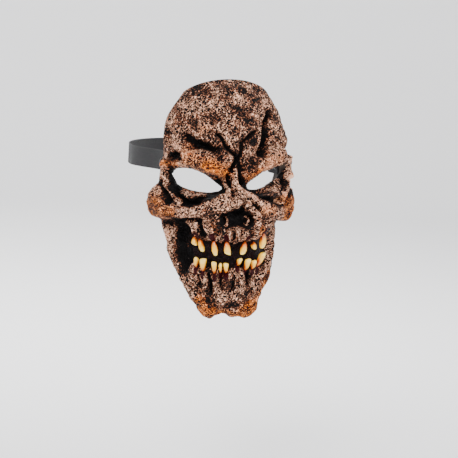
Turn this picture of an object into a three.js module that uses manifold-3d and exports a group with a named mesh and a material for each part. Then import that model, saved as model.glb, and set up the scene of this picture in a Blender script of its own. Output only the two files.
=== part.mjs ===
// A skull face mask: one cast latex shell with hard teeth set in its gums, held on by a riveted elastic
// strap. Millimetres, +Z up, the face looks along -Y, and the origin lies inside the bridge of the nose.
import * as THREE from 'three';
import { mergeVertices } from 'three/addons/utils/BufferGeometryUtils.js';
import Module from 'manifold-3d';

const wasm = await Module();
wasm.setup();

// Sizes of the shell
const FACE_HEIGHT = 234; // underside of the chin to the crown edge
const HALF_WIDTH = 66; // middle to side at the eyes, without the cheekbones
const FACE_DEPTH = 54; // the length that the front and side columns below are shares of
const WALL = 3; // latex
const GUM_BACKING = 1.6; // extra latex behind the teeth
const RELIEF = 10; // height of the brows over the plain skin
const RIM_BAND = 12; // width over which the relief dies away to the edge
const ROUNDING = 3; // cast latex rounds off every sculpted edge by about this much
const CUT_OUT = 22; // how far the cutters of the openings stand out of the plain skin
const CUT_IN = 30;

// Sizes of the teeth
const TOOTH_WIDTH = 8;
const TOOTH_DEPTH = 6.4; // back to front at the belly
const TOOTH_STAND = 4.8; // front of the belly over the gum at the root
const TOOTH_GAP = 0.3;

// Sizes of the strap, which runs level in one loop behind the shell
const STRAP_WIDTH = 20;
const STRAP_THICK = 1.5;
const STRAP_GAP = 0.5; // strap to the inside of the shell
const STRAP_LEVEL = 14; // height of its middle over the origin
const STRAP_LAP = 14; // length that lies inside the shell
const LOOP_HALF_BREADTH = 76;
const LOOP_MIDDLE = 112; // how far back the loop is broadest
const LOOP_BACK = 197; // how far back it reaches

// Sizes of the rivets
const SHANK_RADIUS = 1.6;
const RIVET_HEAD_RADIUS = 4.2;
const RIVET_HEAD_HEIGHT = 2.2;
const SHANK_GAP = 0.3;
const RIVET_HEAD_GAP = 0.6; // under the middle of each head, so that its edge clears the curve
const RIVET_INSET = 7; // from the side edge of the shell

// How finely the curved surfaces are cut into facets
const SHELL_COLUMNS = 44;
const SHELL_ROWS = 46;
const MIDDLE_CROWDING = 0.22; // how much narrower the columns are at the middle of the face
const TOOTH_SIDES = 8;
const RIVET_SIDES = 12;
const LAP_STEPS = 4;
const FREE_STEPS = 5;
const BACK_STEPS = 9;

const QUARTER = Math.PI / 2;
const QUARTER_ARC = QUARTER * (HALF_WIDTH + FACE_DEPTH) / 2; // one quarter of the way round the face

// Level sections of the plain skin, from the lip under the chin to the crown. along, up and droop are
// shares of FACE_HEIGHT, half of HALF_WIDTH, front and side of FACE_DEPTH, rim of a quarter turn.
const SECTIONS = [
  { along: -0.684, up: -0.573, half: 0.62, front: 0.37, side: 0.67, droop: 0.17, rim: 0.64 },
  { along: -0.628, up: -0.580, half: 0.64, front: 0.13, side: 0.57, droop: 0.18, rim: 0.78 },
  { along: -0.573, up: -0.568, half: 0.65, front: -0.09, side: 0.52, droop: 0.18, rim: 0.89 },
  { along: -0.513, up: -0.513, half: 0.68, front: -0.17, side: 0.58, droop: 0.15, rim: 1.00 },
  { along: -0.427, up: -0.427, half: 0.77, front: -0.24, side: 0.66, droop: 0.115, rim: 1.11 },
  { along: -0.321, up: -0.321, half: 0.80, front: -0.32, side: 0.77, droop: 0.06, rim: 1.18 },
  { along: -0.214, up: -0.214, half: 0.83, front: -0.37, side: 0.88, droop: 0.02, rim: 1.24 },
  { along: -0.107, up: -0.107, half: 0.94, front: -0.33, side: 0.83, droop: 0, rim: 1.25 },
  { along: 0, up: 0, half: 0.97, front: -0.11, side: 0.79, droop: 0, rim: 1.19 },
  { along: 0.107, up: 0.107, half: 0.93, front: -0.09, side: 0.78, droop: -0.01, rim: 1.10 },
  { along: 0.214, up: 0.214, half: 0.93, front: 0.02, side: 0.84, droop: -0.035, rim: 1.07 },
  { along: 0.325, up: 0.325, half: 0.88, front: 0.19, side: 0.93, droop: -0.07, rim: 1.00 },
  { along: 0.427, up: 0.427, half: 0.73, front: 0.50, side: 1.02, droop: -0.105, rim: 0.74 },
];

// Raised and sunken forms. A path runs through [across, up] places: across in quarter turns from the
// middle, up in shares of FACE_HEIGHT. reach is half the form's width as a share of FACE_HEIGHT, core
// the part of it that is flat on top, and lift its height as a share of RELIEF.
const FORMS = [
  { name: 'forehead', path: [[0.00, 0.36], [0.02, 0.25]], reach: 0.148, core: 0.27, lift: 0.40 },
  { name: 'left bump', path: [[-0.34, 0.225], [-0.31, 0.195], [-0.25, 0.165]],
    reach: 0.047, core: 0.15, lift: 0.50 },
  { name: 'left bump groove', path: [[-0.52, 0.185], [-0.42, 0.160], [-0.34, 0.145], [-0.25, 0.138]],
    reach: 0.025, core: 0.06, lift: -0.80 },
  { name: 'left crease', path: [[-0.01, 0.100], [-0.07, 0.130], [-0.13, 0.160], [-0.19, 0.195]],
    reach: 0.017, core: 0.06, lift: -0.60 },
  { name: 'right crease', path: [[0.00, 0.100], [0.04, 0.140], [0.05, 0.170], [0.11, 0.198], [0.20, 0.215]],
    reach: 0.016, core: 0.06, lift: -0.45 },
  { name: 'right long groove',
    path: [[0.28, 0.135], [0.31, 0.170], [0.34, 0.205], [0.37, 0.245], [0.42, 0.285]],
    reach: 0.032, core: 0.12, lift: -0.90 },
  { name: 'left of the bridge', path: [[-0.085, -0.005], [-0.07, 0.030], [-0.05, 0.070], [-0.01, 0.105]],
    reach: 0.017, core: 0.06, lift: -0.55 },
  { name: 'right of the bridge', path: [[0.055, 0.005], [0.03, 0.030], [0.02, 0.070], [-0.01, 0.105]],
    reach: 0.017, core: 0.06, lift: -0.60 },
  { name: 'right temple', path: [[0.44, 0.205], [0.55, 0.215], [0.70, 0.170]],
    reach: 0.065, core: 0.21, lift: 0.50 },
  { name: 'left temple', path: [[-0.70, 0.150], [-0.58, 0.150], [-0.50, 0.180]],
    reach: 0.053, core: 0.18, lift: 0.45 },
  { name: 'left brow', path: [[-0.56, 0.098], [-0.40, 0.098], [-0.28, 0.078], [-0.16, 0.052]],
    reach: 0.054, core: 0.30, lift: 0.95 },
  { name: 'right brow', path: [[0.13, 0.042], [0.24, 0.072], [0.38, 0.100], [0.54, 0.120]],
    reach: 0.052, core: 0.30, lift: 0.95 },
  { name: 'left inner roll', path: [[-0.24, 0.148], [-0.15, 0.122], [-0.11, 0.085], [-0.10, 0.050]],
    reach: 0.024, core: 0.18, lift: 0.35 },
  { name: 'right inner roll', path: [[0.13, 0.150], [0.09, 0.110], [0.07, 0.070], [0.09, 0.035]],
    reach: 0.024, core: 0.18, lift: 0.35 },
  { name: 'left lid', path: [[-0.88, 0.045], [-0.76, 0.068], [-0.62, 0.066], [-0.46, 0.062]],
    reach: 0.018, core: 0.24, lift: 0.55 },
  { name: 'right lid', path: [[0.90, 0.070], [0.76, 0.086], [0.58, 0.085], [0.44, 0.083]],
    reach: 0.018, core: 0.24, lift: 0.55 },
  { name: 'left socket', path: [[-0.56, 0.004], [-0.46, 0.000], [-0.24, -0.006]],
    reach: 0.061, core: 0.36, lift: -1.25 },
  { name: 'left socket side', path: [[-0.735, 0.012], [-0.62, 0.010]],
    reach: 0.050, core: 0.45, lift: -0.55 },
  { name: 'right socket', path: [[0.56, 0.022], [0.44, 0.015], [0.22, -0.002]],
    reach: 0.061, core: 0.36, lift: -1.25 },
  { name: 'right socket side', path: [[0.790, 0.036], [0.62, 0.026]],
    reach: 0.050, core: 0.45, lift: -0.45 },
  { name: 'left lid groove', path: [[-0.82, 0.088], [-0.70, 0.100], [-0.60, 0.092]],
    reach: 0.019, core: 0.12, lift: -0.50 },
  { name: 'left eye groove',
    path: [[-0.70, -0.040], [-0.63, -0.072], [-0.52, -0.090], [-0.40, -0.086], [-0.28, -0.060],
      [-0.18, -0.034]],
    reach: 0.018, core: 0.12, lift: -0.70 },
  { name: 'right eye groove',
    path: [[0.76, -0.004], [0.70, -0.030], [0.60, -0.060], [0.50, -0.078], [0.40, -0.080],
      [0.28, -0.060], [0.18, -0.034]],
    reach: 0.018, core: 0.12, lift: -0.70 },
  { name: 'left orbit rim', path: [[-0.79, 0.068], [-0.84, 0.048], [-0.85, 0.016]],
    reach: 0.026, core: 0.20, lift: 0.75 },
  { name: 'right orbit rim', path: [[0.86, 0.094], [0.91, 0.070], [0.92, 0.044], [0.90, 0.014]],
    reach: 0.027, core: 0.20, lift: 1.00 },
  { name: 'left lower rim',
    path: [[-0.845, 0.010], [-0.80, -0.022], [-0.73, -0.050], [-0.67, -0.074], [-0.60, -0.094]],
    reach: 0.019, core: 0.18, lift: 0.50 },
  { name: 'right lower rim',
    path: [[0.885, 0.020], [0.85, -0.006], [0.77, -0.030], [0.68, -0.056], [0.58, -0.082]],
    reach: 0.018, core: 0.18, lift: 0.60 },
  { name: 'left rim hollow', path: [[-0.98, -0.024], [-0.90, -0.038], [-0.79, -0.066], [-0.71, -0.092]],
    reach: 0.024, core: 0.12, lift: -0.95 },
  { name: 'right rim hollow', path: [[0.90, -0.024], [0.82, -0.052], [0.70, -0.088]],
    reach: 0.018, core: 0.12, lift: -0.60 },
  { name: 'right ball top', path: [[0.96, -0.078], [0.89, -0.052]], reach: 0.044, core: 0.30, lift: 1.00 },
  { name: 'nose bridge', path: [[-0.03, 0.040], [-0.02, 0.000], [0.02, -0.030], [-0.03, -0.085]],
    reach: 0.031, core: 0.18, lift: 0.70 },
  { name: 'right of the nose', path: [[0.06, -0.050], [0.09, -0.085], [0.16, -0.115], [0.22, -0.140]],
    reach: 0.016, core: 0.12, lift: 0.45 },
  { name: 'nose opening', path: [[-0.13, -0.146], [0.01, -0.134], [0.12, -0.146]],
    reach: 0.040, core: 0.42, lift: -1.00 },
  { name: 'peak of the nose', path: [[0.03, -0.095], [0.02, -0.120]],
    reach: 0.019, core: 0.18, lift: -0.90 },
  { name: 'left nostril', path: [[-0.157, -0.155], [-0.153, -0.155]], reach: 0.018, core: 0.30, lift: -0.40 },
  { name: 'right nostril', path: [[0.105, -0.149], [0.109, -0.149]], reach: 0.018, core: 0.30, lift: -0.40 },
  { name: 'mouth', path: [[-0.56, -0.292], [-0.30, -0.306], [0.00, -0.303], [0.28, -0.292], [0.46, -0.276]],
    reach: 0.080, core: 0.45, lift: -0.75 },
  { name: 'jaw shelf', path: [[0.56, -0.335], [0.50, -0.362], [0.42, -0.382], [0.34, -0.405]],
    reach: 0.015, core: 0.12, lift: 0.40 },
  { name: 'right jaw edge', path: [[0.74, -0.350], [0.58, -0.410], [0.44, -0.460], [0.37, -0.510]],
    reach: 0.036, core: 0.20, lift: 0.35 },
  { name: 'left jaw edge', path: [[-0.80, -0.420], [-0.62, -0.465], [-0.45, -0.505]],
    reach: 0.036, core: 0.20, lift: 0.35 },
  { name: 'left chin lobe', path: [[-0.38, -0.530], [-0.26, -0.550]], reach: 0.044, core: 0.20, lift: 0.50 },
  { name: 'right chin lobe', path: [[0.39, -0.530], [0.24, -0.552]], reach: 0.044, core: 0.20, lift: 0.50 },
  { name: 'chin notch', path: [[-0.07, -0.550], [-0.05, -0.600]], reach: 0.056, core: 0.12, lift: -0.55 },
];

// Forms that lie alike on both sides, given for the left one
const PAIRED_FORMS = [
  { name: 'eye pad', path: [[-0.60, -0.050], [-0.48, -0.058], [-0.34, -0.052]],
    reach: 0.021, core: 0.18, lift: 0.30 },
  { name: 'temple hollow', path: [[-1.12, 0.172], [-0.92, 0.172]], reach: 0.046, core: 0.25, lift: -0.80 },
  { name: 'cheekbone',
    path: [[-1.10, -0.128], [-0.85, -0.124], [-0.60, -0.124], [-0.40, -0.116], [-0.26, -0.086],
      [-0.16, -0.062]],
    reach: 0.043, core: 0.30, lift: 0.75 },
  { name: 'cheekbone ball', path: [[-1.04, -0.106], [-0.98, -0.116], [-0.86, -0.116]],
    reach: 0.083, core: 0.30, lift: 1.15 },
  { name: 'cheek hollow', path: [[-0.74, -0.220], [-0.73, -0.275], [-0.72, -0.325]],
    reach: 0.077, core: 0.39, lift: -1.25 },
  { name: 'ramus', path: [[-0.98, -0.180], [-0.96, -0.260], [-0.93, -0.350], [-0.80, -0.405]],
    reach: 0.036, core: 0.24, lift: 0.45 },
];

// Ridges of bone over the roots of the teeth and grooves between them, each straight from top to bottom
const ROOT_REACH = 0.016;
const ROOT_CORE = 0.12;
const ROOTS = [
  { from: [-0.57, -0.165], to: [-0.52, -0.210], lift: 0.30 },
  { from: [-0.47, -0.165], to: [-0.45, -0.228], lift: 0.35 },
  { from: [-0.36, -0.160], to: [-0.30, -0.228], lift: 0.40 },
  { from: [-0.17, -0.185], to: [-0.175, -0.230], lift: 0.35 },
  { from: [-0.02, -0.180], to: [-0.02, -0.245], lift: 0.40 },
  { from: [0.15, -0.178], to: [0.09, -0.205], lift: 0.30 },
  { from: [0.24, -0.170], to: [0.24, -0.230], lift: 0.35 },
  { from: [0.33, -0.165], to: [0.36, -0.195], lift: 0.35 },
  { from: [-0.37, -0.375], to: [-0.37, -0.445], lift: 0.35 },
  { from: [-0.22, -0.378], to: [-0.22, -0.450], lift: 0.35 },
  { from: [-0.08, -0.360], to: [-0.08, -0.450], lift: 0.35 },
  { from: [0.08, -0.368], to: [0.11, -0.450], lift: 0.40 },
  { from: [0.23, -0.395], to: [0.27, -0.460], lift: 0.40 },
  { from: [-0.41, -0.165], to: [-0.39, -0.215], lift: -0.40 },
  { from: [-0.31, -0.385], to: [-0.30, -0.460], lift: -0.50 },
  { from: [0.17, -0.378], to: [0.19, -0.425], lift: -0.45 },
];

// The eye openings, as [across, up] places round the edge
const EYE_OUTLINES = {
  left: [[-0.775, 0.012], [-0.770, 0.030], [-0.71, 0.045], [-0.62, 0.051], [-0.50, 0.052], [-0.36, 0.036],
    [-0.24, 0.012], [-0.15, -0.006], [-0.14, -0.015], [-0.20, -0.024], [-0.32, -0.030], [-0.48, -0.032],
    [-0.62, -0.028], [-0.72, -0.014]],
  right: [[0.875, 0.056], [0.82, 0.071], [0.62, 0.067], [0.48, 0.062], [0.37, 0.048], [0.25, 0.022],
    [0.14, 0.000], [0.135, -0.010], [0.20, -0.014], [0.32, -0.015], [0.46, -0.010], [0.60, 0.000],
    [0.73, 0.012], [0.83, 0.028], [0.875, 0.040]],
};

// The teeth: [across, up] of root and tip, width as a share of TOOTH_WIDTH, and the tip's width as a
// share of its own
const UPPER_TEETH = [
  { root: [-0.540, -0.232], tip: [-0.515, -0.268], width: 0.66, tipWidth: 1.00 },
  { root: [-0.460, -0.236], tip: [-0.402, -0.290], width: 0.62, tipWidth: 0.70 },
  { root: [-0.290, -0.240], tip: [-0.250, -0.303], width: 0.78, tipWidth: 0.45 },
  { root: [-0.135, -0.240], tip: [-0.112, -0.294], width: 0.84, tipWidth: 0.90 },
  { root: [0.108, -0.240], tip: [0.070, -0.295], width: 0.76, tipWidth: 0.65 },
  { root: [0.255, -0.244], tip: [0.245, -0.276], width: 0.66, tipWidth: 0.90 },
  { root: [0.362, -0.206], tip: [0.330, -0.270], width: 0.86, tipWidth: 0.50 },
];
const LOWER_TEETH = [
  { root: [-0.492, -0.364], tip: [-0.480, -0.316], width: 0.60, tipWidth: 0.60 },
  { root: [-0.395, -0.376], tip: [-0.390, -0.316], width: 0.86, tipWidth: 1.00 },
  { root: [-0.248, -0.382], tip: [-0.262, -0.325], width: 0.66, tipWidth: 0.90 },
  { root: [-0.176, -0.378], tip: [-0.190, -0.330], width: 0.46, tipWidth: 0.50 },
  { root: [-0.112, -0.376], tip: [-0.126, -0.328], width: 0.66, tipWidth: 1.00 },
  { root: [0.045, -0.350], tip: [0.063, -0.314], width: 0.60, tipWidth: 0.80 },
  { root: [0.140, -0.367], tip: [0.156, -0.312], width: 0.70, tipWidth: 1.00 },
  { root: [0.232, -0.363], tip: [0.240, -0.319], width: 0.58, tipWidth: 0.90 },
  { root: [0.330, -0.355], tip: [0.408, -0.290], width: 0.82, tipWidth: 0.65 },
];

// Rings of a tooth from root to tip: at along its length, width as a share of its own, depth of
// TOOTH_DEPTH, and stand, the front's height over the gum at the root, as a share of TOOTH_STAND
const UPPER_RINGS = [
  { at: 0.00, width: 0.45, depth: 0.35, stand: 0.10 },
  { at: 0.30, width: 0.82, depth: 0.80, stand: 0.75 },
  { at: 0.66, width: 1.00, depth: 0.95, stand: 1.00 },
  { at: 1.00, width: 1.00, depth: 0.50, stand: 0.80 },
];
const LOWER_RINGS = [
  { at: 0.00, width: 0.40, depth: 0.35, stand: 0.10 },
  { at: 0.34, width: 0.72, depth: 0.80, stand: 0.78 },
  { at: 0.78, width: 1.00, depth: 0.90, stand: 1.00 },
  { at: 1.00, width: 1.00, depth: 0.55, stand: 0.85 },
];

// Rings of a rivet's head from its edge to its middle, as shares of its radius and height
const RIVET_HEAD_RINGS = [
  { radius: 1, height: 0 },
  { radius: 1, height: 0.2 },
  { radius: 0.6, height: 0.8 },
  { radius: 0, height: 1 },
];

const latex = new THREE.MeshStandardMaterial({ color: 0x8a6a50, roughness: 0.75 });
const ivory = new THREE.MeshStandardMaterial({ color: 0xe6bd62, roughness: 0.25 });
const elastic = new THREE.MeshStandardMaterial({ color: 0x17171a, roughness: 0.9 });
const blackMetal = new THREE.MeshStandardMaterial({ color: 0x222226, roughness: 0.4, metalness: 0.8 });

// A smooth value between the rows of a table, whose key column rises from row to row
function between(rows, key, column, at) {
  const last = rows.length - 1;
  let i = 0;
  while (i < last - 1 && at > rows[i + 1][key]) i += 1;
  const slope = (k) => {
    const a = rows[Math.max(k - 1, 0)];
    const b = rows[Math.min(k + 1, last)];
    return (b[column] - a[column]) / (b[key] - a[key]);
  };
  const step = rows[i + 1][key] - rows[i][key];
  const t = (at - rows[i][key]) / step;
  const s = 1 - t;
  return s * s * ((1 + 2 * t) * rows[i][column] + t * step * slope(i))
    + t * t * ((1 + 2 * s) * rows[i + 1][column] - s * step * slope(i + 1));
}

function section(along) {
  const row = {};
  for (const column of ['up', 'half', 'front', 'side', 'droop', 'rim']) {
    row[column] = between(SECTIONS, 'along', column, along);
  }
  return row;
}

// A point of the plain skin, at a place in quarter turns from the middle and a share along the rows
function skin(across, along) {
  const row = section(along);
  const turn = across * QUARTER;
  return new THREE.Vector3(
    HALF_WIDTH * row.half * Math.sin(turn),
    FACE_DEPTH * (row.side - (row.side - row.front) * Math.cos(turn)),
    FACE_HEIGHT * (row.up + row.droop * (1 - Math.cos(turn))),
  );
}

function skinNormal(across, along) {
  const step = 0.001;
  const round = skin(across + step, along).sub(skin(across - step, along));
  const rise = skin(across, along + step).sub(skin(across, along - step));
  return round.cross(rise).normalize();
}

// The share along the rows at which the plain skin has a given height, a share of FACE_HEIGHT
function alongAt(across, up) {
  let low = SECTIONS[2].along;
  let high = SECTIONS[SECTIONS.length - 1].along;
  for (let i = 0; i < 24; i += 1) {
    const middle = (low + high) / 2;
    if (skin(across, middle).z < up * FACE_HEIGHT) low = middle;
    else high = middle;
  }
  return (low + high) / 2;
}

// Distance from a place to a path, in millimetres on the face
function distance(across, up, path) {
  let nearest = Infinity;
  for (let i = 0; i + 1 < path.length; i += 1) {
    const px = (path[i + 1][0] - path[i][0]) * QUARTER_ARC;
    const py = (path[i + 1][1] - path[i][1]) * FACE_HEIGHT;
    const qx = (across - path[i][0]) * QUARTER_ARC;
    const qy = (up - path[i][1]) * FACE_HEIGHT;
    const t = THREE.MathUtils.clamp((qx * px + qy * py) / (px * px + py * py), 0, 1);
    nearest = Math.min(nearest, Math.hypot(qx - t * px, qy - t * py));
  }
  return nearest;
}

// 1 on a form, falling smoothly to 0 at its reach
function bell(across, up, form) {
  const away = distance(across, up, form.path) / (form.reach * FACE_HEIGHT);
  return 0.5 + 0.5 * Math.cos(Math.PI * THREE.MathUtils.clamp((away - form.core) / (1 - form.core), 0, 1));
}

function mirrored(form) {
  return { ...form, path: form.path.map(([across, up]) => [-across, up]) };
}

const MOUTH = FORMS.find((form) => form.name === 'mouth');
const ROOT_FORMS = ROOTS.map(({ from, to, lift }) => (
  { path: [from, to], reach: ROOT_REACH, core: ROOT_CORE, lift }));
const ALL_FORMS = [...FORMS, ...PAIRED_FORMS, ...PAIRED_FORMS.map(mirrored), ...ROOT_FORMS];

// How far the edges of the forms wander, as modelled by hand: shares and waves along across and up
function wandered(across, up) {
  return [
    across + 0.016 * Math.sin(40 * up + 11 * across + 1) + 0.010 * Math.sin(23 * across - 57 * up),
    up + 0.005 * Math.sin(17 * across - 31 * up + 2) + 0.003 * Math.sin(61 * up + 29 * across),
  ];
}

// Height of the sculpted face over the plain skin. Forms that meet run into each other as one mass.
const BLEND = 2.5;
function relief(across, up) {
  const place = wandered(across, up);
  let raised = 0;
  let sunken = 0;
  for (const form of ALL_FORMS) {
    const amount = (Math.abs(form.lift) * bell(...place, form)) ** BLEND;
    if (form.lift > 0) raised += amount;
    else sunken += amount;
  }
  return RELIEF * (raised ** (1 / BLEND) - sunken ** (1 / BLEND));
}

// The same height as it comes out of the mould, averaged with places all round at about ROUNDING
const PLACES_AROUND = [[1, 1], [-1, 1], [1, -1], [-1, -1], [1.6, 0], [-1.6, 0], [0, 1.6], [0, -1.6]];
function castRelief(across, up) {
  let total = relief(across, up);
  for (const [side, rise] of PLACES_AROUND) {
    total += relief(across + side * ROUNDING / QUARTER_ARC, up + rise * ROUNDING / FACE_HEIGHT);
  }
  return total / (PLACES_AROUND.length + 1);
}

function smooth(value) {
  const t = THREE.MathUtils.clamp(value, 0, 1);
  return t * t * (3 - 2 * t);
}

// A point of the shell's outside or inside. u runs -1 to 1 between the side edges, v 0 to 1 upwards.
const LOWEST = SECTIONS[0].along;
const HIGHEST = SECTIONS[SECTIONS.length - 1].along;
function shellPoints(u, v) {
  const along = LOWEST + (HIGHEST - LOWEST) * v;
  const across = u * section(along).rim;
  const point = skin(across, along);
  const up = point.z / FACE_HEIGHT;
  const toSide = (1 - Math.abs(u)) * section(along).rim * QUARTER_ARC;
  const toEnd = Math.min(v, 1 - v) * (HIGHEST - LOWEST) * FACE_HEIGHT;
  const fade = smooth(toSide / RIM_BAND) * smooth(toEnd / RIM_BAND);
  const height = castRelief(across, up) * fade;
  const wall = WALL + GUM_BACKING * bell(across, up, MOUTH);
  const normal = skinNormal(across, along);
  return {
    outer: point.clone().addScaledVector(normal, height),
    inner: point.clone().addScaledVector(normal, height - wall),
  };
}

// A closed geometry from corner points and faces of three or four corners
function solidGeometry(points, faces) {
  const index = [];
  for (const [a, b, c, d] of faces) {
    index.push(a, b, c);
    if (d !== undefined) index.push(a, c, d);
  }
  const geometry = new THREE.BufferGeometry();
  const places = points.flatMap((point) => [point.x, point.y, point.z]);
  geometry.setAttribute('position', new THREE.Float32BufferAttribute(places, 3));
  geometry.setIndex(index);
  return geometry;
}

// A solid lofted through rings of as many points each, with a flat cap at each end
function loft(rings) {
  const sides = rings[0].length;
  const faces = [];
  for (let r = 0; r + 1 < rings.length; r += 1) {
    for (let s = 0; s < sides; s += 1) {
      const next = (s + 1) % sides;
      faces.push([r * sides + s, r * sides + next, (r + 1) * sides + next, (r + 1) * sides + s]);
    }
  }
  const end = (rings.length - 1) * sides;
  for (let s = 1; s + 1 < sides; s += 1) {
    faces.push([0, s + 1, s]);
    faces.push([end, end + s, end + s + 1]);
  }
  return solidGeometry(rings.flat(), faces);
}

function toManifold(geometry) {
  const bare = geometry.clone();
  bare.deleteAttribute('normal');
  bare.deleteAttribute('uv');
  const merged = mergeVertices(bare, 0.0001);
  return new wasm.Manifold(new wasm.Mesh({
    numProp: 3,
    vertProperties: new Float32Array(merged.attributes.position.array),
    triVerts: new Uint32Array(merged.index.array),
  }));
}

function fromManifold(solid) {
  const mesh = solid.getMesh();
  const geometry = new THREE.BufferGeometry();
  geometry.setAttribute('position', new THREE.BufferAttribute(new Float32Array(mesh.vertProperties), 3));
  geometry.setIndex(new THREE.BufferAttribute(new Uint32Array(mesh.triVerts), 1));
  return geometry;
}

// The shell before it is cut: outside, inside, and the edge between them
function plainShell() {
  const points = [];
  const wide = SHELL_COLUMNS + 1;
  const count = wide * (SHELL_ROWS + 1);
  const inner = [];
  for (let j = 0; j <= SHELL_ROWS; j += 1) {
    for (let i = 0; i <= SHELL_COLUMNS; i += 1) {
      const even = 2 * i / SHELL_COLUMNS - 1;
      const u = even * (1 - MIDDLE_CROWDING + MIDDLE_CROWDING * even * even);
      const pair = shellPoints(u, j / SHELL_ROWS);
      points.push(pair.outer);
      inner.push(pair.inner);
    }
  }
  points.push(...inner);
  const faces = [];
  for (let j = 0; j < SHELL_ROWS; j += 1) {
    for (let i = 0; i < SHELL_COLUMNS; i += 1) {
      const a = j * wide + i;
      const corners = [a, a + 1, a + wide + 1, a + wide];
      faces.push(corners);
      faces.push(corners.map((corner) => corner + count).reverse());
    }
  }
  const edge = [];
  for (let i = 0; i < SHELL_COLUMNS; i += 1) edge.push(i);
  for (let j = 0; j < SHELL_ROWS; j += 1) edge.push(j * wide + SHELL_COLUMNS);
  for (let i = SHELL_COLUMNS; i > 0; i -= 1) edge.push(SHELL_ROWS * wide + i);
  for (let j = SHELL_ROWS; j > 0; j -= 1) edge.push(j * wide);
  edge.forEach((from, k) => {
    const to = edge[(k + 1) % edge.length];
    faces.push([to, from, from + count, to + count]);
  });
  return solidGeometry(points, faces);
}

// What an opening takes out of the shell, square to the skin all round its edge
function cutter(outline) {
  const flat = outline.map(([across, up]) => new THREE.Vector2(across * QUARTER_ARC, up * FACE_HEIGHT));
  const order = outline.map((place, k) => k);
  if (THREE.ShapeUtils.isClockWise(flat)) order.reverse();
  const contour = order.map((k) => flat[k]);
  const inside = [];
  const outside = [];
  for (const k of order) {
    const [across, up] = outline[k];
    const along = alongAt(across, up);
    const normal = skinNormal(across, along);
    inside.push(skin(across, along).addScaledVector(normal, -CUT_IN));
    outside.push(skin(across, along).addScaledVector(normal, CUT_OUT));
  }
  const count = contour.length;
  const faces = [];
  for (const corners of THREE.ShapeUtils.triangulateShape(contour, [])) {
    const clockwise = THREE.ShapeUtils.isClockWise(corners.map((k) => contour[k]));
    const front = clockwise ? [...corners].reverse() : corners;
    faces.push(front.map((k) => k + count), [...front].reverse());
  }
  for (let k = 0; k < count; k += 1) {
    const next = (k + 1) % count;
    faces.push([k, next, next + count, k + count]);
  }
  return solidGeometry([...inside, ...outside], faces);
}

// One tooth, or the socket that takes it when grow is the gap round it
function tooth({ root, tip, width, tipWidth }, shape, grow) {
  const place = ([across, up]) => {
    const along = alongAt(across, up);
    return { point: skin(across, along), normal: skinNormal(across, along) };
  };
  const start = place(root);
  const end = place(tip);
  const gum = castRelief(...root);
  const down = end.point.clone().sub(start.point);
  const length = down.length();
  down.normalize();
  const side = new THREE.Vector3().addVectors(start.normal, end.normal).cross(down).normalize();
  const forward = new THREE.Vector3().crossVectors(down, side);
  const rings = shape.map((ring, k) => {
    const atTip = k === shape.length - 1;
    const past = grow * (k === 0 ? -1 : atTip ? 1 : 0);
    const halfWidth = TOOTH_WIDTH * width * (atTip ? tipWidth : ring.width) / 2;
    const halfDepth = TOOTH_DEPTH * ring.depth / 2;
    const level = gum + TOOTH_STAND * ring.stand - halfDepth;
    const centre = start.point.clone()
      .addScaledVector(down, ring.at * length + past)
      .addScaledVector(forward, level);
    const points = [];
    for (let s = 0; s < TOOTH_SIDES; s += 1) {
      const angle = (s + 0.5) * 2 * Math.PI / TOOTH_SIDES;
      points.push(centre.clone()
        .addScaledVector(side, Math.cos(angle) * (halfWidth + grow))
        .addScaledVector(forward, Math.sin(angle) * (halfDepth + grow)));
    }
    return points;
  });
  return loft(rings);
}

// Plan of the strap at one height, from the left end round the back: points, and outward directions
function strapPlan(up) {
  const rim = section(alongAt(1, up)).rim;
  const middle = WALL + STRAP_GAP + STRAP_THICK / 2;
  const onShell = (across) => {
    const along = alongAt(across, up);
    const normal = skinNormal(across, along);
    const point = skin(across, along).addScaledVector(normal, -middle);
    return {
      point: new THREE.Vector2(point.x, point.y),
      out: new THREE.Vector2(normal.x, normal.y).normalize(),
    };
  };
  const right = [];
  for (let k = 0; k <= LAP_STEPS; k += 1) {
    right.push(onShell(rim - (STRAP_LAP / QUARTER_ARC) * (1 - k / LAP_STEPS)));
  }
  const leave = right[right.length - 1];
  const heading = new THREE.Vector2(-leave.out.y, leave.out.x);
  const reach = LOOP_MIDDLE - leave.point.y;
  const curve = new THREE.CubicBezierCurve(
    leave.point,
    leave.point.clone().addScaledVector(heading, reach / 3),
    new THREE.Vector2(LOOP_HALF_BREADTH, LOOP_MIDDLE - reach / 3),
    new THREE.Vector2(LOOP_HALF_BREADTH, LOOP_MIDDLE),
  );
  for (let k = 1; k <= FREE_STEPS; k += 1) {
    const way = curve.getTangent(k / FREE_STEPS);
    right.push({ point: curve.getPoint(k / FREE_STEPS), out: new THREE.Vector2(way.y, -way.x) });
  }
  for (let k = 1; k <= BACK_STEPS; k += 1) {
    const turn = (k / BACK_STEPS) * QUARTER;
    const deep = LOOP_BACK - LOOP_MIDDLE;
    right.push({
      point: new THREE.Vector2(LOOP_HALF_BREADTH * Math.cos(turn), LOOP_MIDDLE + deep * Math.sin(turn)),
      out: new THREE.Vector2(deep * Math.cos(turn), LOOP_HALF_BREADTH * Math.sin(turn)).normalize(),
    });
  }
  const left = right.slice(0, -1).map(({ point, out }) => (
    { point: new THREE.Vector2(-point.x, point.y), out: new THREE.Vector2(-out.x, out.y) }));
  return [...left, ...right.reverse()];
}

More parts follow.
